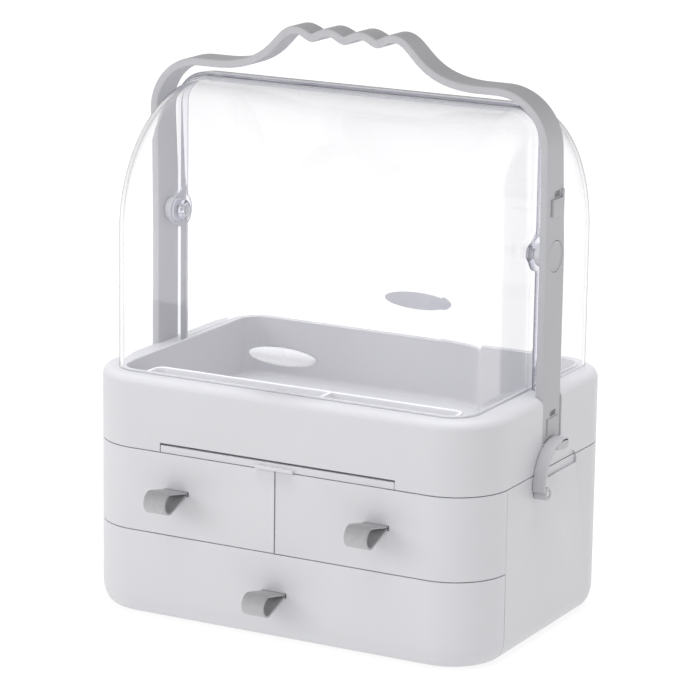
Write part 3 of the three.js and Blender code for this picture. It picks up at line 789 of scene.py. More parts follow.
@dataclass
class SubAssembly:
    """What every sub-assembly shares: its finishes and the body that it rides on."""

    finishes: Finishes

    def fit(self, item: bpy.types.Object, body: str, slot: Slot, *nodes: str, sharp: float = 34.0
            ) -> bpy.types.Object:
        """Shades, dresses and hangs a finished piece on its body.

        Args:
            item: the piece.
            body: the body it rides on.
            slot: its finish.
            nodes: the solids that it stands for.
            sharp: edges sharper than this many degrees stay sharp in the shading.

        Returns:
            The piece.
        """
        item.data.polygons.foreach_set("use_smooth", np.ones(len(item.data.polygons), bool))
        item.data.set_sharp_from_angle(angle=math.radians(sharp))
        self.finishes.dress(item, slot)
        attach(item, body)
        if nodes:
            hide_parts(*nodes)
        log.info("%s: %d faces on %s", item.name, len(item.data.polygons), body)
        return item


# ---------------------------------------------------------------------------------------------------
# Casing and drawers
# ---------------------------------------------------------------------------------------------------


@dataclass(frozen=True)
class BodyForm:
    """The outline and levels that the casing, the fronts and the tray band share."""

    width: float = 290.0
    depth: float = 198.4
    corner: float = 37.8
    round_in: float = 8.5
    round_up: float = 15.0
    low: float = 1.2
    lower_seam: float = 58.4
    upper_seam: float = 113.1
    rim: float = 161.0
    gap: float = 0.5
    side_seam: float = -62.4
    edge: float = 0.5
    latch_y: float = -20.5
    latch_z: float = 101.5

    def plan(self) -> Plan:
        """The full outline from above."""
        x, y = self.width / 2, self.depth / 2
        return Plan(-x, x, -y, y, (self.corner,) * 4)

    def belly(self, inset: float, low: float, steps: int = 14) -> Array:
        """The rounded bottom edge as (inset, height): a quarter ellipse from the floor's rim to the wall."""
        turn = np.linspace(0, math.pi / 2, steps + 1)
        return np.column_stack([inset + self.round_in * (1 - np.sin(turn)),
                                low + self.round_up * (1 - np.cos(turn))])

    def wall(self, high: float, thickness: float) -> Array:
        """Closed section of a wall that starts with the rounded bottom edge."""
        outer, inner = self.belly(0.0, self.low), self.belly(thickness, self.low)
        top = filleted([(0, high - LAP, 0), (0, high, self.edge), (thickness, high, self.edge),
                        (thickness, high - LAP, 0)], closed=False)
        return np.concatenate([outer, top, inner[::-1]])

    def run(self, insets: Array, start: float, end: float, front: bool, steps: int = 36) -> Array:
        """The outline's run round the front or the back, for a whole section at once.

        The back run goes from the right seam round both back corners to the left seam. The front run goes
        from the left seam, or from X = start, round the front corners to the right seam, or to X = end. A
        seam lies at constant Y: on a corner arc of radius r it is where r times the sine equals its depth.

        Args:
            insets: how far each corner of the section lies inside the outline.
            start: X where a front run starts, or minus infinity for the seam.
            end: X where a front run ends, or infinity for the seam.
            front: the front run; otherwise the back run.
            steps: pieces in a corner.

        Returns:
            Sections by stations by two: X and Y.
        """
        x, y, r = self.width / 2 - self.corner, self.depth / 2 - self.corner, self.corner - insets
        seam = self.side_seam - self.gap / 2 if front else self.side_seam + self.gap / 2
        dip = np.arcsin(np.clip((-y - seam) / r, -1, 1))
        share = np.linspace(0, 1, steps + 1)[None, :]

        def corner(cx: float, cy: float, first: Array | float, last: Array | float) -> Array:
            """One corner arc with its own first and last angle for each inset."""
            a = np.broadcast_to(np.asarray(first, float), r.shape)[:, None]
            b = np.broadcast_to(np.asarray(last, float), r.shape)[:, None]
            turn = a + (b - a) * share
            return points_of(cx + r[:, None] * np.cos(turn), cy + r[:, None] * np.sin(turn))

        def spot(px: float) -> Array:
            """A point of the front face at that X, for each inset."""
            return points_of(px, -self.depth / 2 + insets)[:, None, :]

        half = math.pi / 2
        if not front:
            right_end = corner(x, -y, -dip, -dip * 0)[:, :2]
            left_end = corner(-x, -y, 2 * half, 2 * half + dip)[:, -2:]
            return np.concatenate([right_end, corner(x, y, 0, half), corner(-x, y, half, 2 * half), left_end],
                                  axis=1)
        parts = []
        if start == -math.inf:
            parts.append(corner(-x, -y, 2 * half + dip, 3 * half))
        else:
            parts.append(spot(start))
        if end == math.inf:
            parts.append(corner(x, -y, -half, -dip))
        else:
            parts.append(spot(end))
        return np.concatenate(parts, axis=1)

    def carried(self, section: Array, start: float = -math.inf, end: float = math.inf,
                front: bool = True) -> Surface:
        """Carries an (inset, height) section along the front or back run."""
        plan = self.run(section[:, 0], start, end, front)
        heights = np.broadcast_to(section[:, 1][:, None, None], (*plan.shape[:2], 1))
        return Surface.grid(np.concatenate([plan, heights], axis=-1).transpose(1, 0, 2))


@dataclass(frozen=True)
class FingerPocket:
    """The shallow pocket behind a latch, which runs from the casing up into the tray band."""

    span_y: Span = (-4.0, 39.4)
    span_z: Span = (107.0, 116.8)
    depth: float = 1.4
    corner: float = 1.0
    upper_back_corner: float = 8.0

    def cutter(self, side: Side, form: BodyForm) -> Surface:
        """The pocket as a cutter: its outline in Y and Z carried along X."""
        (front, back), (low, high), r = self.span_y, self.span_z, self.corner
        outline = filleted([(front, low, r), (back, low, r), (back, high, self.upper_back_corner),
                            (front, high, r)], steps=12)
        stations = form.width / 2 + np.array([[-self.depth], [OVERRUN]])
        return Surface.grid(points_of(stations, outline[:, 0], outline[:, 1])).mirrored(side)


@dataclass
class Casing(SubAssembly):
    """The shell round the drawers, with its roof, floor, shelf, partition and feet."""

    form: BodyForm = field(default_factory=BodyForm)
    pocket: FingerPocket = field(default_factory=FingerPocket)
    wall: float = 2.4
    plate: float = 2.2
    plate_edge: float = 0.2
    plate_corner: float = 0.5
    hold: float = 1.2
    seam_step: float = 0.6
    roof_step: float = 0.02
    roof_inset: float = 3.0
    floor_inset: float = 12.0
    ledge_inset: float = 5.4
    ledge_z: Span = (54.8, 57.0)
    boss_radius: float = 4.6
    boss_length: float = 6.2
    soft: float = 0.35
    foot_radius: float = 7.0
    foot_height: float = 1.85
    dish_radius: float = 4.6
    dish_depth: float = 0.35
    foot_x: float = 105.0
    foot_y: float = 66.2

    def build(self) -> None:
        """Builds the casing's pieces and dresses the solids that stay."""
        self.shell()
        self.feet()
        self.finishes.dress_solid("middle_shelf", Slot.INNER)
        self.finishes.dress_solid("centre_partition", Slot.INNER)

    def shell(self) -> None:
        """Side and back walls with the roof and floor plates, the ledges and the latch bosses."""
        f = self.form
        high = f.upper_seam - f.gap / 2
        item = mesh_object("casing_shell", f.carried(f.wall(high, self.wall), front=False))
        carve(item, *(self.pocket.cutter(side, f) for side in Side))
        soften(item, self.soft)
        inside = [*self.plates(high), *self.supports()]
        merge(item, mesh_object("casing_plates", inside[0].joined(*inside[1:])))
        self.fit(item, "casing", Slot.SHELL, "base_casing")

    def plates(self, high: float) -> list[Surface]:
        """The roof's rear part, its front part over the drawers, and the floor."""
        f, hold, lip, far = self.form, self.hold, self.roof_inset, self.floor_inset
        x, y, near, edge = f.width / 2, f.depth / 2, self.plate_corner, self.plate_edge
        rear = Plan(hold - x, x - hold, f.side_seam + self.seam_step, y - hold,
                    (f.corner - hold, f.corner - hold, near, near))
        front = Plan(lip - x, x - lip, lip - y, 0.0, (near, near, f.corner - lip, f.corner - lip))
        inner = Plan(far - x, x - far, far - y, y - far, (f.corner - far,) * 4)
        return [slab(rear, high - self.plate, high - self.roof_step, edge),
                slab(front, high - self.plate, high, edge),
                slab(inner, f.low, f.low + self.wall, edge)]

    def supports(self) -> list[Surface]:
        """On each side the ledge that the shelf lies on, and the boss that holds the latch's axle."""
        f, radius, length = self.form, self.boss_radius, self.boss_length
        x, y_span = f.width / 2, (f.side_seam + self.seam_step, f.depth / 2 - f.corner)
        line = filleted([(0, 0, 0), (radius, 0, 0.4), (radius, length, 0), (0, length, 0)], closed=False)
        made = []
        for side, start in ((Side.LEFT, self.hold - x), (Side.RIGHT, x - self.hold - length)):
            near, far = sorted(side.value * (x - inset) for inset in (self.hold, self.ledge_inset))
            made += [box((near, far), y_span, self.ledge_z), turned(line, (start, f.latch_y, f.latch_z), 32)]
        return made

    def feet(self) -> None:
        """Four rubber pads with a rounded rim and a shallow dish underneath."""
        r, high, dish, rise = self.foot_radius, self.foot_height, self.dish_radius, self.dish_depth
        line = filleted([(0, rise, 0), (dish, rise, 0.3), (dish + 0.6, 0, 0.4), (r, 0, 0.6), (r, high, 0.2),
                         (0, high, 0)], closed=False)
        for end, sy in (("front", -1), ("rear", 1)):
            for side in Side:
                name = f"{end}_{side.word}_foot"
                pad = turned(line, (side.value * self.foot_x, sy * self.foot_y, 0.0), 48, upright=True)
                self.fit(mesh_object(f"{name}_pad", pad), "casing", Slot.RUBBER, name)


@dataclass(frozen=True)
class DrawerPlace:
    """Where one drawer sits and which part of the front it covers."""

    name: str
    low: float
    high: float
    box_low: float
    box_height: float
    start: float
    end: float
    pull_x: float


@dataclass
class Drawers(SubAssembly):
    """Three drawers: a wrapped front, a box and a folded strap pull each."""

    form: BodyForm = field(default_factory=BodyForm)
    front_wall: float = 2.6
    half_gap: float = 0.4
    soft: float = 0.35
    lower_box: Span = (4.0, 45.0)
    upper_box: Span = (59.9, 35.0)
    box_inset: float = 3.2
    box_wall: float = 1.8
    box_rim: float = 0.7
    box_heel: float = 1.6
    box_cove: float = 3.0
    heel_laps: Span = (6.0, 4.0)
    cove_laps: Span = (6.0, 8.0)
    half_split: float = 1.9
    split_corner: float = 3.0
    pull_x: float = 72.5
    pull_rise: float = 2.2
    slit_half: float = 1.75
    slit_room: float = 1.0
    strap_width: float = 16.0
    strap_thickness: float = 1.5
    strap_edge: float = 0.5
    loop_radius: float = 7.2
    loop_reach: float = 28.0
    loop_droop: float = 1.4
    half_fold: float = 0.05
    tail_stations: tuple[float, ...] = (9.0, 2.0, 0.0)
    upper_shares: tuple[float, ...] = (0.35, 0.7, 0.9)
    lower_shares: tuple[float, ...] = (0.1, 0.35, 0.65)

    def places(self) -> list[DrawerPlace]:
        """The lower drawer and the two upper ones."""
        f = self.form
        low, mid, high = f.lower_seam - f.gap / 2, f.lower_seam + f.gap / 2, f.upper_seam - f.gap / 2
        return [
            DrawerPlace("lower", f.low, low, *self.lower_box, -math.inf, math.inf, 0.0),
            DrawerPlace("left", mid, high, *self.upper_box, -math.inf, -self.half_gap, -self.pull_x),
            DrawerPlace("right", mid, high, *self.upper_box, self.half_gap, math.inf, self.pull_x),
        ]

    def build(self) -> None:
        """Builds the three drawers."""
        for place in self.places():
            self.wrapped_front(place)
            self.drawer_box(place)
            self.strap_pull(place)
            self.finishes.dress_solid(f"{place.name}_drawer_pull_anchor", Slot.INNER)

    def root_height(self, place: DrawerPlace) -> float:
        """Height of the slit that the strap goes through."""
        return (place.low + place.high) / 2 + self.pull_rise

    def wrapped_front(self, place: DrawerPlace) -> None:
        """The wrapped front: a wall section carried round the outline, slit for its strap."""
        f = self.form
        if place.name == "lower":
            section = f.wall(place.high, self.front_wall)
        else:
            section = filleted([(0, place.low, f.edge), (self.front_wall, place.low, f.edge),
                                (self.front_wall, place.high, f.edge), (0, place.high, f.edge)])
        item = mesh_object(f"{place.name}_front", f.carried(section, place.start, place.end))
        soften(item, self.soft)
        z, half = self.root_height(place), self.strap_width / 2 + self.slit_room
        carve(item, box((place.pull_x - half, place.pull_x + half),
                        (-f.depth / 2 - OVERRUN, -f.depth / 2 + OVERRUN),
                        (z - self.slit_half, z + self.slit_half), 0.2))
        self.fit(item, f"{place.name}_drawer", Slot.SHELL, f"{place.name}_drawer_front")

    def drawer_box(self, place: DrawerPlace) -> None:
        """The box: outlines stacked up the outside, over the rim and down the inside to the floor."""
        f, outer, wall = self.form, self.box_inset, self.box_wall
        x, y, r, near = f.width / 2, f.depth / 2, f.corner, self.split_corner
        inner, low, high = outer + wall, place.box_low, place.box_low + place.box_height
        split = self.half_split - outer
        plan = {
            "lower": Plan(-x, x, -y, y, (r, r, r, r)),
            "left": Plan(-x, -split, -y, y, (near, r, r, near)),
            "right": Plan(split, x, -y, y, (r, near, near, r)),
        }[place.name]
        if place.name == "lower":
            belly = f.belly(outer, low, steps=11)
            outside, inside = belly, belly[::-1] + np.array([wall, wall])
        else:
            under, beside = self.heel_laps
            outside = filleted([(outer + under, low, 0), (outer, low, self.box_heel),
                                (outer, low + beside, 0)], closed=False)
            above, over = self.cove_laps
            inside = filleted([(inner, low + above, 0), (inner, low + wall, self.box_cove),
                               (inner + over, low + wall, 0)], closed=False)
        rim = filleted([(outer, high - LAP, 0), (outer, high, self.box_rim), (inner, high, self.box_rim),
                        (inner, high - LAP, 0)], closed=False)
        item = mesh_object(f"{place.name}_box", stacked([(plan, np.vstack([outside, rim, inside]))]))
        self.fit(item, f"{place.name}_drawer", Slot.INNER, f"{place.name}_drawer_box")

    def strap_pull(self, place: DrawerPlace) -> None:
        """The strap: out of the slit, round a circle and back, a flat band carried along a line in Y and Z.

        The line leaves the root on the tangent to the circle, follows the circle and returns on the other
        tangent; the circle's centre lies reach less radius in front of the root and a droop below it.
        """
        radius = self.loop_radius - self.strap_thickness / 2
        centre = np.array([self.loop_radius - self.loop_reach, -self.loop_droop])
        heading = math.atan2(centre[1], centre[0])
        opening = math.pi / 2 + math.asin(radius / float(np.linalg.norm(centre)))
        turn = np.linspace(heading - opening, heading + opening, 56)
        arc = centre + radius * points_of(np.cos(turn), np.sin(turn))
        gap, tail = self.strap_thickness / 2 + self.half_fold, np.array(self.tail_stations)
        upper, lower = points_of(tail, gap), points_of(tail[::-1], -gap)
        lead = upper[-1] + (arc[0] - upper[-1]) * np.array(self.upper_shares)[:, None]
        back = arc[-1] + (lower[0] - arc[-1]) * np.array(self.lower_shares)[:, None]
        line = np.concatenate([upper, lead, arc, back, lower])
        step = headings(line)
        path = points_of(place.pull_x, line[:, 0] - self.form.depth / 2, line[:, 1] + self.root_height(place))
        up = points_of(0.0, -step[:, 1], step[:, 0])
        section = rounded_bar(self.strap_width / 2, self.strap_thickness / 2, self.strap_edge, steps=4)
        item = mesh_object(f"{place.name}_strap", along_path(path, RIGHT, up, section))
        self.fit(item, f"{place.name}_drawer", Slot.STRAP, f"{place.name}_drawer_pull", sharp=60)


# ---------------------------------------------------------------------------------------------------
# Tray
# ---------------------------------------------------------------------------------------------------


@dataclass
class Tray(SubAssembly):
    """The tray band with its rim, lip and basin, the divider and the slide-out mirror board."""

    form: BodyForm = field(default_factory=BodyForm)
    pocket: FingerPocket = field(default_factory=FingerPocket)
    cover_half_x: float = 132.5
    cover_half_y: float = 93.8
    cover_corner: float = 22.0
    underside: float = 20.0
    rim_round: float = 6.0
    rim_flat: float = 9.0
    lip_inset: float = 5.9
    lip_lap: float = 1.5
    lip_rise: float = 1.5
    lip_wall: float = 2.0
    basin_floor: float = 121.5
    basin_draft: float = 1.2
    basin_round: float = 4.0
    basin_lap: float = 16.0
    slot_half: float = 85.1
    slot_back: float = 62.0
    slot_top: float = 119.5
    leg_x: Span = (138.7, 152.0)
    leg_half: float = 13.8
    leg_z: Span = (130.7, 175.0)
    divider_half: float = 111.0
    divider_y: Span = (-84.8, -56.6)
    divider_bend: float = 6.0
    divider_high: float = 158.0
    divider_lift: float = 0.3
    half_thick: float = 1.0
    cross_x: float = 17.0
    cross_y: tuple[float, ...] = (-85.4, -71.0, -57.0)
    board_half: float = 84.7
    board_top: float = 118.0
    board_length: float = 160.0
    board_corner: float = 0.6
    recess_half: float = 73.3
    recess_y: Span = (13.7, 138.3)
    recess_depth: float = 2.3
    tab_half: float = 13.8
    tab_height: float = 2.3
    tab_rows: tuple[Span, ...] = ((-1.0, 0.0), (1.9, 0.0), (2.35, 0.15), (2.55, 0.45))

    def build(self) -> None:
        """Builds the tray's pieces."""
        self.band()
        self.divider()
        self.board()

    def cover_plan(self) -> Plan:
        """The outside outline of the rear cover, which the lip and the basin follow."""
        x, y = self.cover_half_x, self.cover_half_y
        return Plan(-x, x, -y, y, (self.cover_corner,) * 4)

    def band(self) -> None:
        """One skin from the underside up the band, over the rim and the lip and down into the basin."""
        f, lip, basin, floor = self.form, self.lip_inset, self.lip_inset + self.lip_wall, self.basin_floor
        low, rim, crown = f.upper_seam + f.gap / 2, f.rim, f.rim + self.lip_rise
        outside = filleted([(self.underside, low, 0), (0, low, f.edge), (0, rim, self.rim_round),
                            (self.rim_flat, rim, 0)], closed=False, steps=12)
        inside = filleted([(lip - self.lip_lap, rim, 0), (lip, rim, 0.5), (lip, crown, 0.8),
                           (basin, crown, 0.9), (basin + self.basin_draft, floor, self.basin_round),
                           (basin + self.basin_lap, floor, 0)], closed=False, steps=8)
        item = mesh_object("tray_band", stacked([(f.plan(), outside), (self.cover_plan(), inside)], steps=28))
        slot = box((-self.slot_half, self.slot_half), (-f.depth / 2 - OVERRUN, self.slot_back),
                   (low - LAP, self.slot_top), 0.1)
        leg = box(self.leg_x, (-self.leg_half, self.leg_half), self.leg_z, 0.05)
        carve(item, slot, *(leg.mirrored(side) for side in Side),
              *(self.pocket.cutter(side, f) for side in Side))
        self.fit(item, "casing", Slot.SHELL, "top_tray")

    def upright(self, line: Array) -> Surface:
        """A thin standing wall along a line in plan, with a rounded top edge."""
        step = headings(line)
        path = points_of(line[:, 0], line[:, 1], 0.0)
        across = points_of(-step[:, 1], step[:, 0], 0.0)
        low, high, half = self.basin_floor + self.divider_lift, self.divider_high, self.half_thick
        section = filleted([(-half, low, 0), (half, low, 0), (half, high, 0.8), (-half, high, 0.8)])
        return along_path(path, across, UP, section)

    def divider(self) -> None:
        """The long wall with its turned-in ends, and the short wall that splits the front compartment."""
        x, (near, far), bend = self.divider_half, self.divider_y, self.divider_bend
        line = filleted([(-x, near, 0), (-x, far, bend), (x, far, bend), (x, near, 0)], closed=False,
                        steps=14)
        cross = points_of(self.cross_x, np.array(self.cross_y))
        item = mesh_object("divider_wall", self.upright(line).joined(self.upright(cross)))
        soften(item, 0.3, 60)
        self.fit(item, "casing", Slot.INNER, "tray_divider")

    def board(self) -> None:
        """The board with the recess for its mirror, and the finger tab on its front edge."""
        f, x, w, sink = self.form, self.board_half, self.recess_half, self.recess_depth
        low, high, front = f.upper_seam + f.gap / 2, self.board_top, -f.depth / 2
        corners = (self.board_corner,) * 4
        outline = Plan(-x, x, front, front + self.board_length, corners)
        recess = Plan(-w, w, front + self.recess_y[0], front + self.recess_y[1], corners)
        outside = filleted([(LAP, low, 0), (0, low, 0.4), (0, high, 0.5), (LAP, high, 0)], closed=False)
        inside = filleted([(0, high, 0), (0, high - sink, 0), (LAP, high - sink, 0)], closed=False)
        plate = stacked([(outline, outside), (recess, inside)], steps=4)
        w, h = self.tab_half, self.tab_height
        profile = filleted([(-w, low, 0.8), (w, low, 0.8), (w, low + h, 1.1), (-w, low + h, 1.1)], steps=8)
        heart = profile.mean(axis=0)
        rows = []
        for reach, shrink in self.tab_rows:
            spots = heart + (profile - heart) * (1 - shrink / np.array([w, h / 2]))
            rows.append(points_of(spots[:, 0], front - reach, spots[:, 1]))
        tab = Surface.grid(np.stack(rows))
        self.fit(mesh_object("board_plate", plate.joined(tab)), "mirror_slide", Slot.SHELL, "mirror_board")
        self.finishes.dress_solid("mirror_glass", Slot.MIRROR)


# ---------------------------------------------------------------------------------------------------
# Clear covers and pivots
# ---------------------------------------------------------------------------------------------------


@dataclass(frozen=True)
class CoverForm:
    """One half of the arch: straight wall, quarter round and ends rounded over."""

    name: str
    facing: int
    half_x: float
    radius: float
    fillet: float
    overlap: float
    low: float = 161.5
    pivot: float = 250.0
    wall: float = 2.2
    ear: float = 11.0
    knee: float = 0.36
    edge_shares: Span = (0.307, 0.8)

    def outline(self, drop: Array, share: Array) -> tuple[Array, Array, Array, Array]:
        """Where a share of the way up the arch lies when it is drawn a drop inside the outer line.

        Up to the pivot's height it is a straight wall at radius less drop; above, it is an arc of that
        radius that ends where it crosses the plane of the overlap.

        Args:
            drop: distance inside the outer line.
            share: 0 at the lower edge, 1 at the top seam.

        Returns:
            Y towards the cover's own side, Z, and the outward normal's Y and Z.
        """
        radius = self.radius - drop
        last = math.pi / 2 + np.arcsin(np.clip(self.overlap / radius, -1, 1))
        rise = np.clip(share / self.knee, 0, 1)
        turn = np.clip((share - self.knee) / (1 - self.knee), 0, 1) * last
        y, z = radius * np.cos(turn), self.pivot + radius * np.sin(turn)
        z = np.where(share < self.knee, self.low + (self.pivot - self.low) * rise, z)
        return y, z, np.cos(turn), np.sin(turn)

    def inner_edge(self, share: Array) -> tuple[Array, Array]:
        """The free edge of the end wall: up the overlap plane, round the ear and up to the top seam."""
        h = math.sqrt(self.ear**2 - self.overlap**2)
        top = self.pivot + math.sqrt((self.radius - self.fillet) ** 2 - self.overlap**2)
        first, second = self.edge_shares
        a = np.clip(share / first, 0, 1)
        b = np.clip((share - first) / (second - first), 0, 1)
        c = np.clip((share - second) / (1 - second), 0, 1)
        open_angle = math.atan2(-h, -self.overlap) % (2 * math.pi)
        turn = open_angle + b * ((2 * math.pi - open_angle) % (2 * math.pi) - open_angle)
        y = np.where(b > 0, self.ear * np.cos(turn), -self.overlap)
        z = np.where(b > 0, self.pivot + self.ear * np.sin(turn), self.low + a * (self.pivot - h - self.low))
        y = np.where(c > 0, -self.overlap, y)
        z = np.where(c > 0, self.pivot + h + c * (top - self.pivot - h), z)
        return y, z

    def shell(self, rows: int = 150, bend: int = 22, flat: int = 14, length: int = 12) -> Surface:
        """The cover as a sheet: from one end wall over its rounded edge, along the arch and down the other.

        Column k of the grid lies at a fixed place across the cover. On the arch the point is the outer
        line at X; on the rounded edge at angle q the line drops by fillet (1 - cos q) while X runs out by
        fillet sin q; on the end wall the point moves in a straight line to the free edge. The inside is
        the outside less the wall along the normal.

        Args:
            rows: points up the arch.
            bend: pieces in a rounded edge.
            flat: pieces across an end wall.
            length: pieces along the arch.

        Returns:
            The closed sheet.
        """
        share = np.linspace(0, 1, rows)[:, None]
        end_x = self.half_x - self.fillet
        x = np.linspace(-end_x, end_x, length + 1)[None, :]
        y, z, ny, nz = self.outline(np.zeros_like(x), share)
        middle, middle_n = points_of(x, y, z), points_of(0.0, ny, nz)
        q = np.linspace(0, math.pi / 2, bend + 1)[None, 1:]
        y, z, ny, nz = self.outline(self.fillet * (1 - np.cos(q)), share)
        bent = points_of(end_x + self.fillet * np.sin(q), y, z)
        bent_n = points_of(np.sin(q), ny * np.cos(q), nz * np.cos(q))
        t = np.linspace(0, 1, flat + 1)[None, 1:]
        in_y, in_z = self.inner_edge(share)
        end = points_of(self.half_x, bent[:, -1:, 1] * (1 - t) + in_y * t,
                        bent[:, -1:, 2] * (1 - t) + in_z * t)
        side = np.concatenate([bent, end], axis=1)
        side_n = np.concatenate([bent_n, np.broadcast_to(RIGHT, end.shape)], axis=1)
        outer = np.concatenate([side[:, ::-1] * MIRROR, middle, side], axis=1)
        normal = np.concatenate([side_n[:, ::-1] * MIRROR, middle_n, side_n], axis=1)
        turn = np.array([1.0, float(self.facing), 1.0])
        return Surface.plate(outer * turn, (outer - self.wall * normal) * turn)


@dataclass
class Covers(SubAssembly):
    """Both clear covers with their finger grips, and the pivots that they turn on."""

    rear: CoverForm = field(default_factory=lambda: CoverForm("rear_cover", 1, 132.5, 93.8, 22.0, 0.0))
    front: CoverForm = field(default_factory=lambda: CoverForm("front_cover", -1, 129.3, 90.6, 18.8, 6.0))
    grip_half: float = 24.3
    grip_height: float = 5.8
    grip_reach: float = 5.0
    grip_power: float = 0.8
    grip_level: float = 185.6
    grip_seat: float = 0.3
    crease_depth: float = 0.9
    crease_drop: float = 1.2
    crease_width: float = 1.6
    pivot: float = 250.0
    leg_outer: float = 144.2
    pin_tip: float = 125.1
    pin_radius: float = 3.0
    head_radius: float = 10.0
    head_depth: float = 1.6
    dish_radii: Span = (8.6, 8.2)
    dish_depth: float = 0.25
    bore: float = 3.3
    bush_radius: float = 7.5
    bush_x: Span = (132.8, 138.7)
    cap_radius: float = 7.0
    cap_base: float = 123.4
    cap_seat: float = 124.8
    cap_mouth: float = 126.8

    def build(self) -> None:
        """Builds covers, grips and pivots."""
        for form in (self.rear, self.front):
            self.cover(form)
            self.grip(form)
        for side in Side:
            self.pivot_set(side)

    def cover(self, form: CoverForm) -> None:
        """One clear cover with softened edges."""
        item = mesh_object(f"{form.name}_shell", form.shell())
        soften(item, 0.45, 60)
        self.fit(item, form.name, Slot.CLEAR, form.name, sharp=50)

    def grip(self, form: CoverForm) -> None:
        """The lens-shaped grip, flattened where it sits on its cover, with a scooped crease."""
        body = lens((self.grip_half, self.grip_reach, self.grip_height), self.grip_power, 40, 128)
        x, y, z = body.points.T
        across = np.exp(-(((z + self.crease_drop) / self.crease_width) ** 2))
        crease = self.crease_depth * across * np.clip(1 - (x / self.grip_half) ** 2, 0, 1) * (y < 0)
        y = np.minimum(y + crease, -self.grip_seat)
        placed = Surface(points_of(x, form.facing * (form.radius - y), z + self.grip_level), body.faces)
        self.fit(mesh_object(f"{form.name}_finger_grip", placed.facing_out()), form.name, Slot.FROSTED,
                 f"{form.name}_grip", sharp=60)

    def pivot_set(self, side: Side) -> None:
        """Stepped pin with its flush head, the bush on it and the clear cap inside the dome."""
        tip, out, core, r = self.pin_tip, self.leg_outer, self.pin_radius, self.head_radius
        head, sunk, (brim, dish) = out - self.head_depth, out - self.dish_depth, self.dish_radii
        pin = filleted([(0, tip, 0), (core, tip, 0.5), (core, head, 0), (r, head, 0.2), (r, out, 0.5),
                        (brim, out, 0.2), (dish, sunk, 0.2), (0, sunk, 0)], closed=False)
        (near, far), bore, bush_r = self.bush_x, self.bore, self.bush_radius
        bush = filleted([(bore, near, 0.2), (bush_r, near, 0.5), (bush_r, far, 0.5), (bore, far, 0.2)])
        dome, mouth, seat = np.linspace(0, math.pi / 2, 16), self.cap_mouth, self.cap_seat
        bulge = points_of(self.cap_radius * np.sin(dome), mouth - (mouth - self.cap_base) * np.cos(dome))
        cap = np.vstack([bulge, [bore, mouth], [bore, seat], [0, seat]])
        axis = (0.0, 0.0, self.pivot)
        made = {
            "pivot_pin": (turned(pin, axis), Slot.HANDLE),
            "pivot_spacer": (turned(bush, axis, ring=True), Slot.FROSTED),
            "pivot_cap": (turned(cap, axis), Slot.CLEAR),
        }
        for name, (surface, slot) in made.items():
            node = f"{side.word}_{name}"
            self.fit(mesh_object(f"{node}_fine", surface.mirrored(side)), "casing", slot, node)


# ---------------------------------------------------------------------------------------------------
# Handle and latches
# ---------------------------------------------------------------------------------------------------


@dataclass(frozen=True)
class Clip:
    """One snap clip of a leg: the Y and Z spans of its notch, its slit, its raised block and its rib."""

    notch: tuple[Span, Span]
    slit: tuple[Span, Span]
    block: tuple[Span, Span]
    height: float
    rib: tuple[Span, Span] | None = None


UPPER_CLIP = Clip(notch=((-4.0, 4.4), (288.1, 291.8)), slit=((-9.2, -7.7), (276.4, 287.4)),
                  block=((-7.6, 8.0), (275.7, 287.2)), height=1.7, rib=((5.9, 8.0), (286.5, 292.1)))
LOWER_CLIP = Clip(notch=((-1.7, 6.7), (146.3, 150.0)), slit=((-6.6, -5.2), (134.6, 145.8)),
                  block=((-5.1, 10.3), (133.9, 145.4)), height=0.6)


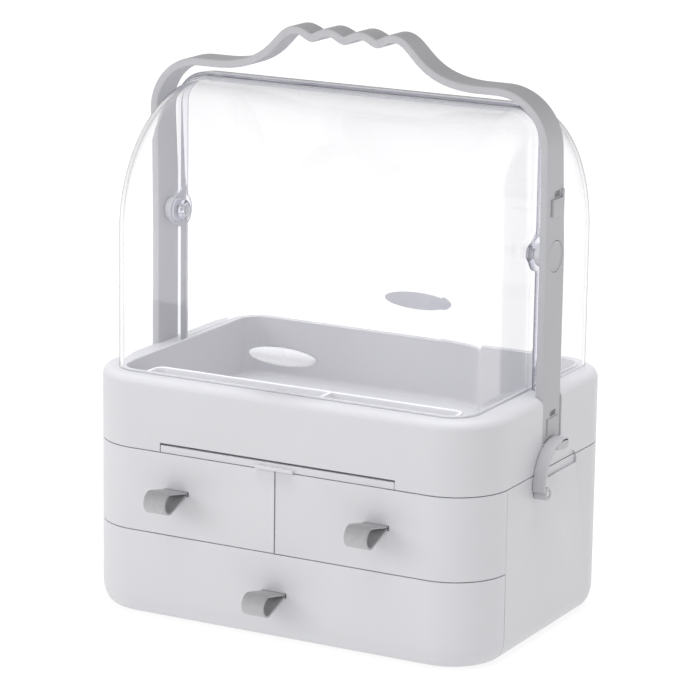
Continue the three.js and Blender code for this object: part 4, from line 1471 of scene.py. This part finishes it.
@dataclass
class Handle(SubAssembly):
    """The carrying handle: one strip up both sides and over the top, waved at the grip."""

    thickness: float = 5.2
    width: float = 27.0
    edge: float = 1.1
    leg_outer: float = 144.2
    foot: float = 131.0
    arch: float = 37.0
    shoulder: float = 355.5
    crest: float = 382.3
    pivot: float = 250.0
    grip_width: float = 19.8
    lean: float = 6.5
    wave: float = 23.5
    waves: float = 1.5
    wave_depth: float = 4.2
    valley: float = 0.004
    shoulder_flat: float = 12.0
    fall_shares: Span = (0.26, 0.76)
    section_half: float = 9.0
    bore_radius: float = 10.3
    bore_span: Span = (1.9, 4.0)
    notch_depth: float = 2.4
    slit_depth: float = 1.6
    block_root: float = 2.2
    clips: tuple[Clip, ...] = (UPPER_CLIP, LOWER_CLIP)

    def build(self) -> None:
        """Builds the handle and dresses the screws in its legs."""
        item = mesh_object("handle_strip", self.strip())
        carve(item, *(cutter.mirrored(side) for side in Side for cutter in self.notches()))
        blocks = [block.mirrored(side) for side in Side for block in self.raised()]
        merge(item, mesh_object("handle_blocks", blocks[0].joined(*blocks[1:])))
        self.fit(item, "casing", Slot.HANDLE, "handle")
        for side in Side:
            for level in ("lower", "upper"):
                self.finishes.dress_solid(f"{side.word}_leg_screw_{level}", Slot.STEEL)

    def right_half(self) -> tuple[Array, Array]:
        """Top line and under line of the right half, from the middle of the grip to the foot.

        At the grip the top is the crest less the wave depth times (1 - |sin|), which leaves sharp valleys,
        and the underside follows a cosine, which rounds them. Beyond it both lie half a thickness from a
        cubic that falls from the crest to the shoulder, level at both ends, then from the arch and the leg.

        Returns:
            The two lines, point for point, as X and Z.
        """
        half, end = self.thickness / 2, self.waves * self.wave
        x = np.linspace(0, end, 90)
        ripple = np.clip(np.sqrt(np.sin(math.pi * x / self.wave) ** 2 + self.valley), 0, 1)
        dip = 0.5 + 0.5 * np.cos(2 * math.pi * x / self.wave)
        top = points_of(x, self.crest - self.wave_depth * (1 - ripple))
        under = points_of(x, self.crest - self.thickness - self.wave_depth * dip)
        centre, knee = self.leg_outer - self.arch, self.shoulder - self.arch
        last, high, low = centre - self.shoulder_flat, self.crest - half, self.shoulder - half
        leave, arrive = (share * (last - end) for share in self.fall_shares)
        ends = np.array([[end, high], [end + leave, high], [last - arrive, low], [last, low]])
        t = np.linspace(0, 1, 80)[1:, None]
        fall = ((1 - t) ** 3 * ends[0] + 3 * (1 - t) ** 2 * t * ends[1] + 3 * (1 - t) * t**2 * ends[2]
                + t**3 * ends[3])
        turn = np.linspace(math.pi / 2, 0, 40)
        arch = np.array([centre, knee]) + (self.arch - half) * points_of(np.cos(turn), np.sin(turn))
        leg = points_of(self.leg_outer - half, np.linspace(knee, self.foot, 25)[1:])
        line = np.concatenate([[[end - 0.5, high]], fall, arch, leg])
        step = headings(line)
        line, normal = line[1:], points_of(-step[:, 1], step[:, 0])[1:]
        return np.concatenate([top, line + half * normal]), np.concatenate([under, line - half * normal])

    def strip(self) -> Surface:
        """The strip: a rounded rectangle between the two lines, carried along them.

        Above the pivots its middle leans forward and its width shrinks, both in proportion to the height.
        """
        flip = np.array([-1.0, 1.0])
        top, under = (np.concatenate([line[:0:-1] * flip, line]) for line in self.right_half())
        middle, span = (top + under) / 2, (top - under) / 2
        thick = np.linalg.norm(span, axis=1, keepdims=True)
        up = span / thick
        share = np.clip((middle[:, 1:] - self.pivot) / (self.crest - self.pivot), 0, 1)
        path = points_of(middle[:, 0], -self.lean * share[:, 0], middle[:, 1])
        rise = points_of(up[:, 0], 0.0, up[:, 1])
        unit = rounded_bar(self.section_half, self.section_half, self.edge, steps=6)
        half = (self.width + (self.grip_width - self.width) * share) / 2
        section = unit + np.sign(unit) * (points_of(half, thick) - self.section_half)
        return along_path(path, BACK, rise, section)

    def notches(self) -> list[Surface]:
        """Cutters of one leg: the counterbore of the pin, the clip notches and the slits beside them."""
        out, radius, (depth, over) = self.leg_outer, self.bore_radius, self.bore_span
        bore = filleted([(0, out - depth, 0), (radius, out - depth, 0), (radius, out + over, 0),
                         (0, out + over, 0)], closed=False)
        cutters = [turned(bore, (0.0, 0.0, self.pivot))]
        for clip in self.clips:
            cutters.append(box((out - self.notch_depth, out + OVERRUN), *clip.notch, 0.2))
            cutters.append(box((out - self.slit_depth, out + OVERRUN), *clip.slit, 0.1))
        return cutters

    def raised(self) -> list[Surface]:
        """Raised snap blocks of one leg: a step below each notch and a rib behind the upper one."""
        out = self.leg_outer
        return [box((out - self.block_root, out + clip.height), *spans, 0.4)
                for clip in self.clips for spans in (clip.block, clip.rib) if spans]


@dataclass
class Latches(SubAssembly):
    """The curved side levers, their top plates and axles."""

    form: BodyForm = field(default_factory=BodyForm)
    centre_z: float = 106.0
    radius: float = 27.0
    blade: float = 2.2
    blade_start: float = 6.2
    blade_end: float = 1.03
    inner_x: float = 145.3
    outer_x: float = 153.8
    plate: float = 2.2
    plate_rows: tuple[Span, ...] = ((0.5, 0.0), (0.15, 0.15), (0.0, 0.5))
    barrel_radii: Span = (2.3, 4.2)
    axle_radius: float = 2.0
    axle_x: Span = (137.6, 153.5)

    def build(self) -> None:
        """Builds a lever for each side and dresses its axle."""
        place, r, (tip, head) = (0.0, self.form.latch_y, self.form.latch_z), self.axle_radius, self.axle_x
        axle = filleted([(0, tip, 0), (r, tip, 0.3), (r, head, 0.4), (0, head, 0)], closed=False)
        for side in Side:
            item = mesh_object(f"{side.word}_lever", self.lever().mirrored(side))
            self.fit(item, f"{side.word}_latch", Slot.HANDLE, f"{side.word}_latch_lever")
            pin = turned(axle, place, 40).mirrored(side)
            self.fit(mesh_object(f"{side.word}_axle", pin), "casing", Slot.STEEL, f"{side.word}_latch_pin")

    def lever(self) -> Surface:
        """Blade, top plate and barrel, each a closed skin."""
        (bore, r), near, far = self.barrel_radii, self.inner_x, self.outer_x
        line = filleted([(bore, near, 0.2), (r, near, 0.3), (r, far, 0.7), (bore, far, 0.3)])
        barrel = turned(line, (0.0, self.form.latch_y, self.form.latch_z), 56, ring=True)
        return self.curved_blade().joined(self.top_plate(), barrel)

    def curved_blade(self) -> Surface:
        """A flat strip on an arc about the latch's centre, from the top plate round to the barrel."""
        middle = self.radius - self.blade / 2
        turn = np.linspace(math.acos(self.blade_start / middle), math.pi * self.blade_end, 64)
        path = points_of((self.inner_x + self.outer_x) / 2, middle * np.cos(turn),
                         self.centre_z + middle * np.sin(turn))
        out = points_of(0.0, np.cos(turn), np.sin(turn))
        w, t = (self.outer_x - self.inner_x) / 2, self.blade / 2
        section = filleted([(-w, -t, 0.3), (w, -t, 0.7), (w, t, 0.7), (-w, t, 0.3)], steps=4)
        return along_path(path, RIGHT, out, section)

    def top_plate(self) -> Surface:
        """The thumb plate in Y and Z, whose outer edge is rounded by outlines drawn towards its middle."""
        outline = filleted([(-11.5, 127.8, 1.2), (-6, 131.0, 1.0), (0, 132.9, 4), (7.4, 132.2, 2.4),
                            (7.6, 126.0, 2.4), (0.5, 125.6, 3.0)], steps=6)
        inwards = outline.mean(axis=0) - outline
        inwards /= np.linalg.norm(inwards, axis=1, keepdims=True)
        rows = [np.column_stack([np.full(len(outline), self.outer_x - step), outline + inset * inwards])
                for step, inset in ((self.plate, 0.0), *self.plate_rows)]
        return Surface.grid(np.stack(rows))


# ---------------------------------------------------------------------------------------------------
# Studio
# ---------------------------------------------------------------------------------------------------


@dataclass(frozen=True)
class Softbox:
    """One area light: place, aim, size, power in watts, and words that name the pieces a flag shades."""

    name: str
    place: tuple[float, float, float]
    target: tuple[float, float, float]
    width: float
    height: float
    power: float
    flagged: tuple[str, ...] = ()


SOFTBOXES = (
    Softbox("front", (-2.4, -3.6, 1.8), (0.0, 0.0, 0.2), 3.0, 2.0, 58.0),
    Softbox("top", (0.0, 0.0, 3.2), (0.0, 0.0, 0.2), 2.4, 2.4, 95.0, ("handle", "pivot_pin", "strap")),
)


@dataclass
class Studio:
    """Pale floor, soft light and the camera at the photograph's angle."""

    eye: tuple[float, float, float] = (1.02912, -1.90808, 0.70591)
    yaw: float = 28.1856
    pitch: float = -13.787
    roll: float = 0.825
    focal: float = 3449.06
    picture: float = 700.0
    sensor: float = 36.0
    clip: Span = (0.05, 60.0)
    floor_reach: float = 12.0
    floor_tones: tuple[Colour, Colour] = ((0.23, 0.23, 0.23), (0.25, 0.25, 0.25))
    floor_glow: float = 0.79
    sky_low: float = 0.9
    sky_high: float = 0.5

    def build(self) -> None:
        """Builds camera, floor, sky and lights."""
        self.camera()
        self.floor()
        self.sky()
        for softbox in SOFTBOXES:
            self.lamp(softbox)

    def camera(self) -> None:
        """Camera from yaw (turned left from +Y), pitch and roll; its lens fits the focal length in pixels."""
        yaw, pitch, roll = (math.radians(a) for a in (self.yaw, self.pitch, self.roll))
        ahead = Vector((-math.sin(yaw) * math.cos(pitch), math.cos(yaw) * math.cos(pitch), math.sin(pitch)))
        side = Vector((math.cos(yaw), math.sin(yaw), 0.0))
        over = side.cross(ahead)
        right = math.cos(roll) * side + math.sin(roll) * over
        up = right.cross(ahead)
        data = bpy.data.cameras.new("camera")
        data.sensor_width = self.sensor
        data.lens = self.focal / self.picture * self.sensor
        data.clip_start, data.clip_end = self.clip
        item = bpy.data.objects.new("camera", data)
        turn = Matrix((right, up, -ahead)).transposed()
        item.matrix_world = Matrix.Translation(self.eye) @ turn.to_4x4()
        bpy.context.scene.collection.objects.link(item)
        bpy.context.scene.camera = item

    def floor(self) -> None:
        """A large pale floor with a very faint mottling, lit a little from beneath as a light table is."""
        reach = self.floor_reach
        mesh = bpy.data.meshes.new("floor")
        corners = [(-reach, -reach, 0), (reach, -reach, 0), (reach, reach, 0), (-reach, reach, 0)]
        mesh.from_pydata(corners, [], [(0, 1, 2, 3)])
        item = bpy.data.objects.new("floor", mesh)
        bpy.context.scene.collection.objects.link(item)
        graph = Graph("floor paper")
        body = graph.shader(Roughness=0.9, Emission_Color=(1.0, 1.0, 1.0, 1.0),
                            Emission_Strength=self.floor_glow)
        mottle = graph.tint(graph.noise(scale=2.0, detail=2.0), *self.floor_tones)
        graph.link(mottle, body.inputs["Base Color"])
        mesh.materials.append(graph.material)

    def sky(self) -> None:
        """A white surround, brightest at the horizon, as a studio's walls are."""
        world = bpy.data.worlds.new("surround")
        world.use_nodes = True
        shade = world.node_tree.nodes["Background"]
        shade.inputs["Color"].default_value = (1.0, 1.0, 1.0, 1.0)
        tree = world.node_tree
        place = tree.nodes.new("ShaderNodeTexCoord")
        parts = tree.nodes.new("ShaderNodeSeparateXYZ")
        tree.links.new(place.outputs["Generated"], parts.inputs["Vector"])
        rise = tree.nodes.new("ShaderNodeMapRange")
        rise.inputs["To Min"].default_value, rise.inputs["To Max"].default_value = self.sky_low, self.sky_high
        tree.links.new(parts.outputs["Z"], rise.inputs["Value"])
        tree.links.new(rise.outputs["Result"], shade.inputs["Strength"])
        bpy.context.scene.world = world
        bpy.context.scene.view_settings.view_transform = "Standard"

    def lamp(self, softbox: Softbox) -> None:
        """Hangs one softbox, which lights the surfaces but isn't mirrored in them."""
        data = bpy.data.lights.new(softbox.name, "AREA")
        data.shape, data.size, data.size_y = "RECTANGLE", softbox.width, softbox.height
        data.energy = softbox.power
        item = bpy.data.objects.new(softbox.name, data)
        look = Vector(softbox.target) - Vector(softbox.place)
        item.location = softbox.place
        item.rotation_euler = look.to_track_quat("-Z", "Y").to_euler()
        item.visible_glossy = item.visible_transmission = False
        bpy.context.scene.collection.objects.link(item)
        if softbox.flagged:
            lit = bpy.data.collections.new(f"{softbox.name} lit")
            for piece in bpy.data.objects:
                if piece.type == "MESH" and not any(word in piece.name for word in softbox.flagged):
                    lit.objects.link(piece)
            item.light_linking.receiver_collection = lit


def main() -> None:
    """Builds the organiser from the bottom up, then the studio."""
    logging.basicConfig(level=logging.INFO, format="%(message)s")
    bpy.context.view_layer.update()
    finishes = Finishes()
    for part in (Casing(finishes), Drawers(finishes), Tray(finishes), Covers(finishes), Handle(finishes),
                 Latches(finishes)):
        part.build()
        log.info("%s is done", type(part).__name__)
    Studio().build()


if __name__ == "__main__":
    main()
